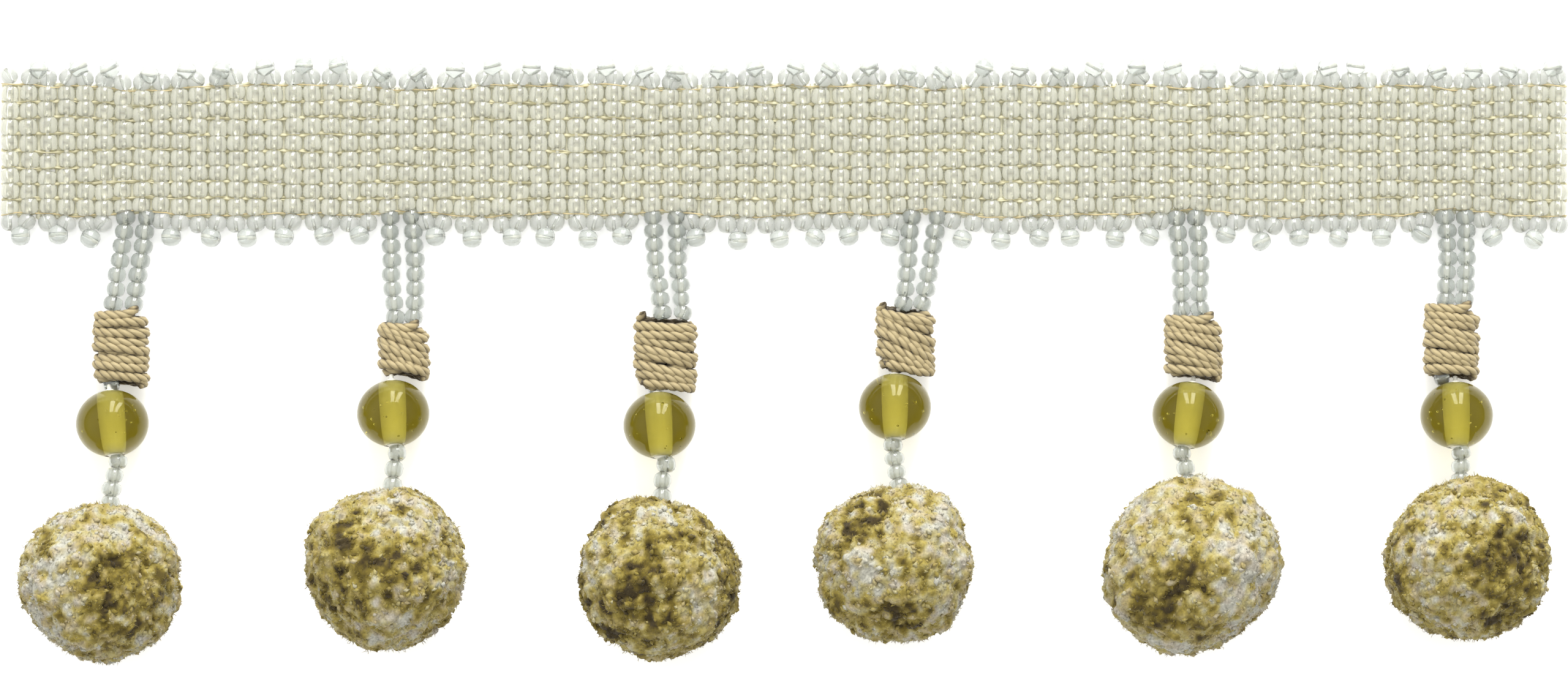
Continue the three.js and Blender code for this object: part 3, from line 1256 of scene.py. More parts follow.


# The drops from left to right, each judged.
LOOKS = (
    DropLook(
        slope=(7, 10), tail=Tail.RIGHT, peeks=True, legs=((0.4, 0.1), (0.5, 0.1)),
        neck_sway=(0.37, 0.0, 0.1), tone=0.66,
        patches=(
            Patch(0.0, 0.75, 0.4, Yarn.CREAM), Patch(-0.8, 0.45, 0.25, Yarn.GOLD),
            Patch(-0.6, 0.1, 0.3, Yarn.WHITE), Patch(-0.3, -0.5, 0.3, Yarn.WHITE),
            Patch(0.57, 0.32, 0.18, Yarn.DARK), Patch(0.23, 0.1, 0.2, Yarn.DARK),
            Patch(-0.1, -0.1, 0.14, Yarn.DARK), Patch(0.09, -0.35, 0.2, Yarn.DARK),
            Patch(0.2, -0.7, 0.2, Yarn.DARK), Patch(0.53, -0.55, 0.18, Yarn.OLIVE),
            Patch(0.75, -0.1, 0.3, Yarn.OLIVE), Patch(0.0, -0.95, 0.3, Yarn.CREAM),
        ),
    ),
    DropLook(
        slope=(30, 24), tail=Tail.RIGHT, peeks=False, legs=((0.3, 0.3), (0.45, 0.0)),
        neck_sway=(0.25, 0.05, 0.0), tone=0.58,
        patches=(
            Patch(0.0, 0.8, 0.35, Yarn.CREAM), Patch(0.4, 0.65, 0.25, Yarn.WHITE),
            Patch(-0.45, 0.4, 0.22, Yarn.DARK), Patch(0.0, 0.05, 0.22, Yarn.DARK),
            Patch(-0.5, -0.4, 0.3, Yarn.OLIVE), Patch(0.2, -0.75, 0.35, Yarn.CREAM),
            Patch(0.1, -0.5, 0.16, Yarn.WHITE), Patch(0.5, 0.1, 0.25, Yarn.OLIVE),
        ),
    ),
    DropLook(
        slope=(9, 16), tail=Tail.LEFT, peeks=True, legs=((0.1, 0.5), (0.7, 0.6)),
        neck_sway=(0.35, 0.0, 0.25), tone=0.34,
        patches=(
            Patch(0.0, 0.8, 0.35, Yarn.CREAM), Patch(-0.25, 0.05, 0.25, Yarn.DARK),
            Patch(-0.1, -0.4, 0.25, Yarn.DARK), Patch(0.55, 0.2, 0.3, Yarn.CREAM),
            Patch(0.5, -0.2, 0.3, Yarn.CREAM), Patch(-0.8, 0.2, 0.25, Yarn.WHITE),
            Patch(0.2, -0.8, 0.3, Yarn.CREAM), Patch(-0.5, -0.5, 0.2, Yarn.OLIVE),
        ),
    ),
    DropLook(
        slope=(28, 30), tail=Tail.LEFT, peeks=False, legs=((-0.5, 0.5), (0.2, 0.4)),
        neck_sway=(-0.3, 0.2, 0.7), tone=0.63,
        patches=(
            Patch(-0.35, 0.55, 0.25, Yarn.DARK), Patch(0.3, 0.0, 0.16, Yarn.DARK),
            Patch(0.1, -0.65, 0.25, Yarn.DARK), Patch(-0.5, -0.6, 0.2, Yarn.OLIVE),
            Patch(0.65, 0.3, 0.35, Yarn.WHITE), Patch(0.6, -0.3, 0.3, Yarn.CREAM),
            Patch(-0.35, -0.1, 0.2, Yarn.WHITE), Patch(0.3, 0.5, 0.2, Yarn.CREAM),
        ),
    ),
    DropLook(
        slope=(26, 12), tail=Tail.RIGHT, peeks=False, legs=((-0.5, -0.4), (-0.4, -0.5)),
        neck_sway=(-0.2, 0.2, 0.25), tone=0.74,
        patches=(
            Patch(0.0, 0.75, 0.35, Yarn.GOLD), Patch(-0.05, 0.0, 0.25, Yarn.DARK),
            Patch(-0.45, -0.45, 0.3, Yarn.DARK), Patch(0.35, 0.1, 0.25, Yarn.WHITE),
            Patch(0.55, -0.45, 0.3, Yarn.WHITE), Patch(-0.6, 0.35, 0.3, Yarn.CREAM),
            Patch(0.1, -0.65, 0.2, Yarn.OLIVE),
        ),
    ),
    DropLook(
        slope=(22, 6), tail=Tail.RIGHT, peeks=True, legs=((0.0, 0.2), (0.1, 0.0)),
        neck_sway=(0.35, 0.1, 0.15), tone=0.44,
        patches=(
            Patch(-0.4, 0.65, 0.35, Yarn.CREAM), Patch(0.45, 0.6, 0.3, Yarn.GOLD),
            Patch(0.45, 0.0, 0.25, Yarn.DARK), Patch(0.15, -0.1, 0.2, Yarn.DARK),
            Patch(-0.7, 0.05, 0.2, Yarn.WHITE), Patch(0.4, -0.55, 0.25, Yarn.OLIVE),
            Patch(-0.3, -0.6, 0.3, Yarn.CREAM),
        ),
    ),
)


@dataclass
class BeadLegs:
    """The two strands of seed beads of one drop, the neck below its glass bead, and the drop's thread.

    Attributes:
        number: of the drop.
        look: what the drop shows.
        seed: of the small unevenness, to which the drop's number is added.
        bead: the seed bead.
        gap: how far a strand runs on beyond each end of its CAD solid.
        packing: length that a bead takes up when they are counted, as a share of its own.
        fit: length of a bead, as a share of its room.
        stray: usual spread of a bead's x.
        tilt: usual spread of a bead's axis.
        uneven: usual spread of a bead's width, as a share.
        thread: thickness of the thread.
        thread_sides: points round it.
        bundle: thickness of the bundle of thread in the glass bead's bore.
        bundle_sides: points round the bundle.
        bundle_inset: how far the bundle's ends lie inside the bore.
        thread_overhang: of the thread beyond the bore.
        peek: where the bead under the wrap shows: right of the wrap's middle and above its lower end.
        peek_axis: direction of its hole.
    """

    number: int
    look: DropLook
    seed: int = 40
    bead: SeedBead = SeedBead(diameter=2.1, hole=0.42, shoulder=0.6)
    gap: float = 0.3
    packing: float = 0.99
    fit: float = 0.97
    stray: float = 0.06
    tilt: float = 0.08
    uneven: float = 0.03
    thread: float = 0.5
    thread_sides: int = 6
    bundle: float = 1.94
    bundle_sides: int = 20
    bundle_inset: float = 0.35
    thread_overhang: float = 0.5
    peek: tuple[float, float] = (-1.1, 0.4)
    peek_axis: tuple[float, float, float] = (1.0, 0.25, 0.0)

    def strung(
        self, line: MiddleLine, sway: tuple[float, ...], rng: np.random.Generator
    ) -> tuple[Surface, Surface]:
        """Strings touching beads on a line from one gap above it to one gap below.

        Args:
            line: the CAD strand's middle.
            sway: how far the beads stand to the right of it, at even steps from the top to the bottom.
            rng: source of the small unevenness.

        Returns:
            The beads and the thread through them.
        """
        top, bottom = line.top + self.gap, line.bottom - self.gap
        count = max(2, round((top - bottom) / (self.packing * self.bead.length)))
        y = top - (np.arange(count) + 0.5) * (top - bottom) / count
        places = line.at(y)
        aside = np.interp(np.linspace(0, 1, count), np.linspace(0, 1, len(sway)), sway)
        places[:, 0] += aside + rng.normal(0, self.stray, count)
        path = np.vstack([line.at(top), places, line.at(bottom)])
        axes = -np.gradient(path, axis=0)[1:-1] + rng.normal(0, self.tilt, (count, 3))
        length = np.full(count, self.fit * (top - bottom) / count / self.bead.length)
        beads = copies(self.bead.model(), places, axes, rng.normal(1, self.uneven, count), length)
        return beads, tube(path, self.thread / 2, self.thread_sides)

    def bore_threads(self) -> list[Surface]:
        """The threads inside the glass bead.

        Returns:
            The drop's own thread through the bore, and the bundle that fills the bore.
        """
        line = MiddleLine(f"thread_{self.number}", 1)
        over, inset = self.thread_overhang, self.bundle_inset
        thread = line.at(np.linspace(line.top + over, line.bottom - over, 4))
        bundle = line.at(np.linspace(line.top - inset, line.bottom + inset, 12))
        return [
            tube(thread, self.thread / 2, self.thread_sides),
            tube(bundle, self.bundle / 2, self.bundle_sides),
        ]

    def build(self, glass: Material, waxed: Material) -> None:
        """Builds and dresses the legs, the neck and their thread.

        Args:
            glass: the seed beads' finish, which main gives as the clear glass greyed as painted shade.
            waxed: the thread's finish.
        """
        n = self.number
        rng = np.random.default_rng(self.seed + n)
        left, left_thread = self.strung(MiddleLine(f"leg_left_{n}"), self.look.legs[0], rng)
        right, right_thread = self.strung(MiddleLine(f"leg_right_{n}"), self.look.legs[1], rng)
        neck, neck_thread = self.strung(MiddleLine(f"neck_{n}", 1), self.look.neck_sway, rng)
        legs = [left, right]
        if self.look.peeks:
            low, high = node_box(f"wrap_{n}")
            middle = (low + high) / 2
            place = np.array([[middle[0] + self.peek[0], low[1] + self.peek[1], middle[2]]])
            axis = np.array([self.peek_axis])
            legs.append(copies(self.bead.model(), place, axis, np.ones(1), np.ones(1)))
        stands_for = [f"leg_left_{n}", f"leg_right_{n}"]
        Surface.joined(legs).piece(f"leg_beads_{n}", glass, Slot.SEED_BEADS, stands_for)
        neck.piece(f"neck_beads_{n}", glass, Slot.SEED_BEADS, [f"neck_{n}"])
        threads = Surface.joined([left_thread, right_thread, neck_thread, *self.bore_threads()])
        threads.piece(f"drop_thread_{n}", waxed, Slot.THREAD, [f"thread_{n}"])


@dataclass(frozen=True)
class Layer:
    """One layer of a wrap's winding.

    Attributes:
        slopes: fall of the turns to the right, in degrees, at the top and at the bottom.
        inset: how much narrower than the CAD solid it is.
        loose: how far the cord's upper end stands up.
        steps: points for each turn.
        sides: points round a ply.
    """

    slopes: tuple[float, float]
    inset: float
    loose: float
    steps: int
    sides: int


@dataclass
class CordWrap:
    """A three-ply cord wound round the two legs of one drop.

    Attributes:
        number: of the drop.
        look: what the drop shows.
        seed: of the small unevenness, to which the drop's number is added.
        cord: thickness of the cord.
        lay: length of one full twist of its plies.
        ply: radius of a ply.
        ply_ring: radius of the ring that the plies' middles lie on.
        spare: how much longer than its CAD solid the wrap is.
        squareness: power that squares the oval's sides.
        taper: length over which the cord's ends thin out.
        thin_end: thickness of the very end, as a share of the cord's.
        uneven_lay: how far the twist runs ahead or behind, in turns, and over what length that changes.
        slope_turns: how many more turns a steep winding takes, as a share.
        slack: how far a turn stands out to the sides, as a share, in one turn or another.
        belly: how much wider the wrap is half way down, as a share.
        depth: depth of the turns, as a share, and how much it changes from turn to turn.
        stagger: heights of the two waves by which turns fall sooner or later.
        fade: how fast that grows from the wrap's ends, and the share of it that the ends keep.
        end_slope: share of the slope that the first and the last turn keep.
        slope_growth: how fast that share grows along the wrap.
        sag: how far the last turns may hang below the wrap.
        painted_shade_out: share of the way out from the cord's middle where the painted shade in a groove
            fades, and over how much.
        painted_shade_facing: the same for how far a point faces away from the wrap's axis.
        inner: the layer below, wound the other way.
    """

    number: int
    look: DropLook
    seed: int = 60
    cord: float = 1.14
    lay: float = 3.2
    ply: float = 0.34
    ply_ring: float = 0.26
    spare: float = 0.25
    squareness: float = 0.85
    taper: float = 0.5
    thin_end: float = 0.45
    uneven_lay: tuple[float, float] = (0.12, 2.6)
    slope_turns: float = 0.5
    slack: float = 0.045
    belly: float = 0.03
    depth: tuple[float, float] = (0.97, 0.04)
    stagger: tuple[float, float] = (0.14, 0.1)
    fade: tuple[float, float] = (8.0, 0.3)
    end_slope: tuple[float, float] = (0.15, 0.45)
    slope_growth: float = 2.2
    sag: float = 0.3
    painted_shade_out: tuple[float, float] = (0.62, 0.25)
    painted_shade_facing: tuple[float, float] = (-0.02, 0.45)
    inner: Layer = Layer(slopes=(-6.0, -6.0), inset=0.45, loose=0.0, steps=30, sides=5)

    def winding(self, layer: Layer) -> tuple[Array, Array]:
        """The cord's middle, wound from the top down.

        Round the oval at an angle a, a turn's point is (w cos a, d sin a) across the axis. Along the axis
        it falls evenly with a, and with x as the slopes say, less so in the first and the last turns. The
        first eighth of a turn is lifted into a loose end. Slow waves of random phase, none of them in step
        with the turns, make these uneven: some are slacker, some stand out less, and some fall sooner.

        Args:
            layer: the layer that is wound.

        Returns:
            Points of the path, and the direction of the wrap's axis.
        """
        points = node_points(f"wrap_{self.number}")
        low, high = points.min(0), points.max(0)
        rng = np.random.default_rng(self.seed + self.number + round(100 * layer.inset))
        lean = np.polyfit(points[:, 1], points[:, 0], 1)[0]
        axis = unit(np.array([lean, 1.0, 0.0]))
        side = np.array([axis[1], -axis[0], 0.0])
        length = np.ptp(points @ axis) + self.spare
        wide = np.ptp(points @ side) / 2 - self.cord / 2 - layer.inset
        deep = (high[2] - low[2]) / 2 - self.cord / 2 - layer.inset
        steepest = math.radians(max(np.abs(layer.slopes)))
        turns = round(length * (1 + self.slope_turns * math.sin(steepest)) / self.cord)
        count = turns * layer.steps
        angle = self.look.tail.value + np.linspace(0, TURN * turns, count)
        share = np.linspace(0, 1, count)
        slack = 1 + self.slack * np.sin(3 * angle / 7 + rng.uniform(0, 6))
        slack += self.belly * np.sin(math.pi * share)
        x = wide * np.sign(np.cos(angle)) * np.abs(np.cos(angle)) ** self.squareness * slack
        depth = self.depth[0] + self.depth[1] * np.sin(5 * angle / 9 + rng.uniform(0, 6))
        z = deep * np.sin(angle) * depth
        uneven = self.stagger[0] * np.sin(angle / 1.7 + rng.uniform(0, 6))
        uneven += self.stagger[1] * np.sin(angle * 1.3 + rng.uniform(0, 6))
        room = length / 2 - self.cord / 2
        uneven *= np.clip(self.fade[0] * np.minimum(share, 1 - share), self.fade[1], 1)
        fall = room - 2 * room * share + uneven
        slope = np.tan(np.radians(np.interp(share, [0, 1], layer.slopes)))
        first, last = self.end_slope
        keep = np.minimum(first + self.slope_growth * share, last + self.slope_growth * (1 - share))
        fall = np.clip(fall - slope * x * np.clip(keep, 0, 1), -room - self.sag, room)
        fall += layer.loose * np.clip(1 - share * turns * 8, 0, 1) ** 2
        path = (low + high) / 2 + fall[:, None] * axis + x[:, None] * side + z[:, None] * UP
        return path, axis

    def plies(self, layer: Layer) -> list[Surface]:
        """The cord's three plies, each a helix about the winding, thinner at the cord's ends.

        A point is spared more of the painted shade the further it lies from the cord's middle and the more
        it faces away from the wrap's axis, so painted shade lies in the grooves, inwards and towards other
        turns.

        Args:
            layer: the layer that is wound.

        Returns:
            The plies.
        """
        path, axis = self.winding(layer)
        _, normal, binormal, run = along_path(path, axis)
        whole = self.ply_ring + self.ply
        taper = np.clip(np.minimum(run, run[-1] - run) / self.taper, self.thin_end, 1)
        # What a ply's points hang on: its rings' middles and normals, then those of its two ends.
        middles = np.vstack([np.repeat(path, layer.sides, 0), path[:1], path[-1:]])
        outwards = np.vstack([np.repeat(normal, layer.sides, 0), normal[:1], normal[-1:]])
        ahead, change = self.uneven_lay
        plies = []
        for third in range(3):
            phase = TURN * (run / self.lay + third / 3 + ahead * np.sin(run / change))
            ring = np.cos(phase)[:, None] * normal + np.sin(phase)[:, None] * binormal
            ply = tube(path + self.ply_ring * taper[:, None] * ring, self.ply * taper, layer.sides, axis)
            off = ply.points - middles
            out = (np.linalg.norm(off, axis=1) / whole - self.painted_shade_out[0]) / self.painted_shade_out[1]
            facing = ((off * outwards).sum(1) / whole - self.painted_shade_facing[0]) / self.painted_shade_facing[1]
            # Painted shade in the grooves between plies and between turns, darkest at 0.
            ply.fibre[:, 2] = np.clip(out, 0, 1) * np.clip(facing, 0, 1)
            plies.append(ply)
        return plies

    def build(self, fibre: Material) -> None:
        """Builds the turns that show, over a layer wound the other way.

        Args:
            fibre: the cord's finish.
        """
        outer = Layer(self.look.slope, inset=0.0, loose=0.9, steps=44, sides=7)
        whole = Surface.joined(self.plies(outer) + self.plies(self.inner))
        whole.piece(f"cord_wrap_{self.number}", fibre, Slot.CORD, [f"wrap_{self.number}"])


@dataclass
class OliveBead:
    """A round bead of olive glass with its bore and a few bubbles.

    Attributes:
        number: of the drop.
        seed: of the small unevenness, to which the drop's number is added.
        diameter: across the bead.
        length: along its bore.
        bore: diameter of the bore.
        rings: points of the outside's profile.
        bore_rings: points of the bore's profile.
        sides: points round the bead.
        bubbles: how many there may be; those too close to the bore are left out.
        bubble_depth: where they lie, as shares of the radius from the centre.
        bubble_size: their radii.
        bubble_gap: how far from the bore they stay.
    """

    number: int
    seed: int = 80
    diameter: float = 8.0
    length: float = 7.4
    bore: float = 1.9
    rings: int = 30
    bore_rings: int = 6
    sides: int = 64
    bubbles: int = 26
    bubble_depth: tuple[float, float] = (0.45, 0.85)
    bubble_size: tuple[float, float] = (0.05, 0.13)
    bubble_gap: float = 0.5

    def ball(self, centre: Array, axis: Array) -> Surface:
        """The bead: an ellipse of the diameter and length, cut off at the bore, turned round a plain bore.

        Args:
            centre: of the bead.
            axis: of its bore.

        Returns:
            The closed surface.
        """
        r, b = self.diameter / 2, self.bore / 2
        start = math.asin(b / r)
        angle = np.linspace(start, math.pi - start, self.rings)
        outside = np.stack([r * np.sin(angle), -self.length / 2 * np.cos(angle)], 1)
        rim = outside[-1, 1]
        bore = np.stack([np.full(self.bore_rings, b), np.linspace(rim, -rim, self.bore_rings + 2)[1:-1]], 1)
        model = turned(np.vstack([outside, bore]), self.sides)
        return copies(model, centre[None], axis[None], np.ones(1), np.ones(1))

    def hollows(self, centre: Array, axis: Array) -> Surface:
        """The bubbles: small balls of three rings whose faces look inwards, since they are hollows.

        Args:
            centre: of the bead.
            axis: of its bore.

        Returns:
            The bubbles as one surface.
        """
        r, b = self.diameter / 2, self.bore / 2
        rng = np.random.default_rng(self.seed + self.number)
        way = unit(rng.normal(0, 1, (self.bubbles, 3)))
        off = way * (r * rng.uniform(*self.bubble_depth, self.bubbles))[:, None]
        from_bore = np.linalg.norm(off - (off @ axis)[:, None] * axis, axis=1)
        off = off[from_bore > b + self.bubble_gap]
        size = rng.uniform(*self.bubble_size, len(off))[:, None]
        rings = np.array([[0.15, 0.7], [0.5, 1.0], [0.85, 0.7]])
        sideways = np.tile([1e-6, 0.0, 0.0], (len(off), 1))
        low, high = centre + off - size * UP, centre + off + size * UP
        return strands(low, high, sideways, np.tile(size, 2), 8, rings).inside_out()

    def build(self, glass: Material) -> None:
        """Builds the bead on the axis of its CAD thread.

        Args:
            glass: the bead's finish.
        """
        low, high = node_box(f"glass_bead_{self.number}")
        centre = (low + high) / 2
        line = MiddleLine(f"thread_{self.number}", 1)
        axis = unit(line.at(line.top) - line.at(line.bottom))
        whole = Surface.joined([self.ball(centre, axis), self.hollows(centre, axis)])
        whole.piece(f"olive_bead_{self.number}", glass, Slot.OLIVE_GLASS, [f"glass_bead_{self.number}"])


@dataclass(frozen=True)
class Sprouts:
    """Strands of one kind that grow out of a pompom's tufts.

    Attributes:
        count: how many there would be without the bare place round the neck.
        stray: usual spread of each part of a strand's direction from the centre.
        bare: cosine of the angle round the neck within which there are none.
        sunk: how deep the roots lie in the tufts.
        length: of the shortest and the longest strand.
        splay: usual spread of each part of a strand's heading.
        bow: usual spread of how far a strand's middle strays.
        widest: where a strand is thickest, as a share of its length.
        sides: points round a strand.
    """

    count: int
    stray: float
    bare: float
    sunk: float
    length: tuple[float, float]
    splay: float
    bow: float
    widest: float
    sides: int


@dataclass
class Pompom:
    """A ball of cut yarn: soft tufts that run into each other, in patches of the yarn's colours, and fibres.

    Attributes:
        number: of the drop.
        look: what the drop shows.
        seed: of the small unevenness, to which the drop's number is added.
        tufts: yarns that come to the surface.
        tuft_stray: usual spread of each part of a tuft's direction.
        grid: faces along each edge of the cube that is blown up to the ball.
        ends: single yarn ends that stand out of the tufts.
        end_radius: of the thinnest and the thickest end.
        end_shape: an end's two radii, as shares of that.
        end_light: how much lighter than its tuft an end usually is, and the spread of it.
        fibres: fine loose fibres.
        fibre_radius: of a fibre.
        fibre_light: how much lighter than its tuft a fibre is, as a level and as a factor.
        seat: height of the centre, as a share of the radius, since the ball sits down on its yarn.
        inset: how far the tufts' middles lie inside the CAD solid.
        hollow: how much lower the border between two tufts lies than their middles.
        border_waves: waves round the ball of the three fields that bend the tufts' borders.
        border_bend: how far they do, as a share of the radius.
        blend: how softly tufts run into each other.
        lump: height of the small lumps of cut ends.
        lump_waves: waves round the ball of the fields that make the finer and the coarser lumps.
        lump_limit: height at which a lump is cut off, as a share.
        crease: power that narrows the creases between the finer lumps.
        uneven: usual spread of a tuft's height, in millimetres, and of its level.
        dark_level: level below which a tuft sinks, since dark yarn lies deep.
        dark_sink: how far it sinks for a whole level.
        comb: angle round the neck, in degrees, within which the yarn runs away from it.
        draw: how far the yarn is drawn together there, as a share.
        waves: plane waves in a random field.
        wave_range: how fine the coarsest and the finest of them are, as a share of the field's.
        clumps: waves round the ball, and height, of the fields that make the yarn lighter and darker.
        grain: how much lighter the finer lumps are.
        tone_weight: weight of the drop's own tone.
        patch_weight: weight of a patch at its middle.
        blush: the mauve that some of the yarn leans to.
        blush_waves: waves round the ball of the field that says where.
        blush_most: the largest share of mauve.
        clearance: height of the lowest points above the table.
    """

    number: int
    look: DropLook
    seed: int = 100
    tufts: int = 260
    tuft_stray: float = 0.07
    grid: int = 62
    ends: Sprouts = Sprouts(
        count=1700, stray=0.06, bare=0.95, sunk=0.34, length=(0.42, 0.68),
        splay=0.45, bow=0.06, widest=0.62, sides=4,
    )
    end_radius: tuple[float, float] = (0.18, 0.42)
    end_shape: tuple[float, float] = (1.3, 0.8)
    end_light: tuple[float, float] = (0.06, 0.11)
    fibres: Sprouts = Sprouts(
        count=5200, stray=0.1, bare=0.97, sunk=0.1, length=(0.35, 0.7),
        splay=0.9, bow=0.12, widest=0.4, sides=3,
    )
    fibre_radius: float = 0.04
    fibre_light: tuple[float, float] = (0.14, 1.12)
    seat: float = 0.9
    inset: float = 0.6
    hollow: float = 0.52
    border_waves: tuple[int, int, int] = (27, 28, 29)
    border_bend: float = 0.022
    blend: float = 0.0012
    lump: float = 0.1
    lump_waves: tuple[int, int] = (75, 40)
    lump_limit: float = 1.2
    crease: float = 0.7
    uneven: float = 0.12
    dark_level: float = 0.36
    dark_sink: float = 1.6
    comb: float = 40.0
    draw: float = 0.4
    waves: int = 40
    wave_range: tuple[float, float] = (0.7, 1.3)
    clumps: tuple[tuple[int, float], ...] = ((13, 0.07), (26, 0.15), (48, 0.09))
    grain: float = 0.05
    tone_weight: float = 0.55
    patch_weight: float = 1.5
    blush: str = "a3917c"
    blush_waves: int = 30
    blush_most: float = 0.35
    clearance: float = 0.02

    def __post_init__(self) -> None:
        """Takes the ball's place from its CAD solid and spreads the tufts over it."""
        self.rng = np.random.default_rng(self.seed + self.number)
        self.solid = node_points(f"pompom_{self.number}")
        low, high = self.solid.min(0), self.solid.max(0)
        radius = (high[0] - low[0] + high[1] - low[1]) / 4
        self.centre = np.array([(low[0] + high[0]) / 2, (low[1] + high[1]) / 2, self.seat * radius])
        neck = MiddleLine(f"neck_{self.number}", 1)
        self.to_neck = unit(neck.at(neck.bottom) - self.centre)
        self.middles = self.directions(self.tufts, self.tuft_stray)
        self.tuft_level = self.patch_level(self.middles) + self.rng.normal(0, self.uneven, self.tufts)
        sink = self.dark_sink * np.clip(self.dark_level - self.tuft_level, 0, 1)
        self.tuft_rise = self.rng.normal(0, self.uneven, self.tufts) - sink

    def directions(self, count: int, stray: float) -> Array:
        """Directions spread evenly over a ball on a golden spiral, each strayed a little.

        Args:
            count: how many.
            stray: usual spread of each of a direction's parts.

        Returns:
            The directions.
        """
        step = np.arange(count) + 0.5
        z = 1 - 2 * step / count
        turn = math.pi * (1 + math.sqrt(5)) * step
        ring = np.sqrt(1 - z**2)
        even = np.stack([ring * np.cos(turn), ring * np.sin(turn), z], 1)
        return unit(even + self.rng.normal(0, stray, (count, 3)))

    def drift(self, way: Array, lumps: float) -> Array:
        """A smooth random field over the ball: many plane waves of random heading and phase, about 1 high.

        Args:
            way: directions from the ball's centre.
            lumps: waves round the ball.

        Returns:
            The field in each direction, the same at every call.
        """
        rng = np.random.default_rng(1000 * self.number + round(lumps))
        heading = unit(rng.normal(0, 1, (self.waves, 3))) * lumps
        heading *= rng.uniform(*self.wave_range, (self.waves, 1))
        phase = rng.uniform(0, TURN, self.waves)
        return np.cos(way @ heading.T + phase).sum(1) / math.sqrt(self.waves / 2)

    def combed(self, way: Array) -> Array:
        """Directions for looking up lumps and colours: near the neck they are drawn together along the yarn.

        Within the comb's angle c of the neck, an angle a from it becomes c - draw (c - a), so what lies
        there is stretched into strands that run away from the neck.

        Args:
            way: directions from the ball's centre.

        Returns:
            The directions to look up.
        """
        rim = math.radians(self.comb)
        lean = np.arccos(np.clip(way @ self.to_neck, -1, 1))
        aside = way - (way @ self.to_neck)[:, None] * self.to_neck
        aside = aside / np.maximum(np.linalg.norm(aside, axis=1, keepdims=True), 1e-6)
        drawn = np.where(lean < rim, rim - self.draw * (rim - lean), lean)[:, None]
        return np.cos(drawn) * self.to_neck + np.sin(drawn) * aside

    def patch_level(self, way: Array) -> Array:
        """How light the yarn is in each direction, from about 0 to 1.

        The drop's own tone is drawn towards the patches' levels by a bell of the distance. The far side
        repeats the patches of the near side.

        Args:
            way: directions from the ball's centre.

        Returns:
            The levels.
        """
        weight = np.full(len(way), self.tone_weight)
        total = self.look.tone * weight
        for patch in self.look.patches:
            middle = patch.middle()
            near = np.minimum(np.linalg.norm(way - middle, axis=1), np.linalg.norm(way + middle, axis=1))
            pull = self.patch_weight * np.exp(-((near / patch.spread) ** 2))
            weight += pull
            total += pull * patch.yarn.level
        return total / weight

    def surface(self, way: Array) -> tuple[Array, Array]:
        """The tufted surface and its yarn.

        A direction takes from the tufts near it, the more the nearer. The surface sinks by the hollow
        towards a border, where the nearest tuft and the next are equally far. On it stand small lumps: the
        size of a wavy field, so that they meet in creases where it passes through zero. All of it hangs
        from the CAD solid's own reach in that direction.

        Args:
            way: directions from the ball's centre.

        Returns:
            The surface's distance from the centre and the yarn's level, for each direction.
        """
        seek = self.combed(way)
        bend = np.stack([self.drift(seek, waves) for waves in self.border_waves], 1)
        gap = 1 - unit(seek + self.border_bend * bend) @ self.middles.T
        share = np.exp(-(gap - gap.min(1, keepdims=True)) / self.blend)
        share /= share.sum(1, keepdims=True)
        near, following = np.sqrt(np.maximum(np.partition(gap, 1, 1)[:, :2], 0)).T
        dome = np.sqrt((following - near) / (following + near))
        fine, coarse = (self.drift(seek, waves) for waves in self.lump_waves)
        lumps = np.minimum(np.abs(fine), self.lump_limit) ** self.crease
        lumps += np.minimum(np.abs(coarse), self.lump_limit)
        reach = ((self.solid - self.centre) @ way.T).max(0)
        far = reach - self.inset - self.hollow * (1 - dome) + share @ self.tuft_rise + self.lump * lumps
        # Half of the level is the tufts' own and half is the patches'.
        level = 0.5 * (share @ self.tuft_level) + 0.5 * self.patch_level(way)
        clumps = sum(height * self.drift(seek, count) for count, height in self.clumps)
        return far, level + clumps + self.grain * fine

    def colours(self, way: Array, level: Array) -> Array:
        """The yarn's linear colours at levels; its lighter stretches take a touch of mauve here and there.

        Args:
            way: directions from the ball's centre.
            level: the yarn's level in each.

        Returns:
            A colour for each direction.
        """
        pink = np.clip(0.5 * self.drift(way, self.blush_waves), 0, self.blush_most)
        pink = (pink * np.clip(3 * level - 1, 0, 1))[:, None]
        return (1 - pink) * Yarn.ramp(np.clip(level, 0, 1)) + pink * np.array(linear(self.blush))

    def ball(self) -> Surface:
        """A cube's grid blown up to a ball, its points then moved out to the tufted surface.

        Returns:
            The closed, tinted ball.
        """
        step = np.tan(np.linspace(-1, 1, self.grid + 1) * math.pi / 4)
        u, v = (a.ravel() for a in np.meshgrid(step, step, indexing="ij"))
        one = np.ones(len(u))
        sides = [(u, v, one), (v, u, -one), (one, u, v), (-one, v, u), (v, one, u), (u, -one, v)]
        cube = np.concatenate([np.stack(side, 1) for side in sides])
        starts = (self.grid + 1) ** 2 * np.arange(6)
        faces = (sheet_faces(self.grid + 1, self.grid + 1)[None] + starts[:, None, None]).reshape(-1, 4)
        corners, number = np.unique(cube.round(6), axis=0, return_inverse=True)
        way = unit(corners)
        far, level = self.surface(way)
        return Surface(self.centre + far[:, None] * way, number.ravel()[faces], self.colours(way, level))

    def sprouting(self, kind: Sprouts) -> tuple[Array, Array, Array, Array]:
        """Where the strands of a kind start and end.

        Args:
            kind: of strand.

        Returns:
            Their directions from the ball's centre, their roots, their tips, and the yarn's level there.
        """
        way = self.directions(kind.count, kind.stray)
        way = way[way @ self.to_neck < kind.bare]
        far, level = self.surface(way)
        root = self.centre + (far - kind.sunk)[:, None] * way
        run = self.rng.uniform(*kind.length, (len(way), 1))
        tip = root + run * unit(way + self.rng.normal(0, kind.splay, way.shape))
        return way, root, tip, level

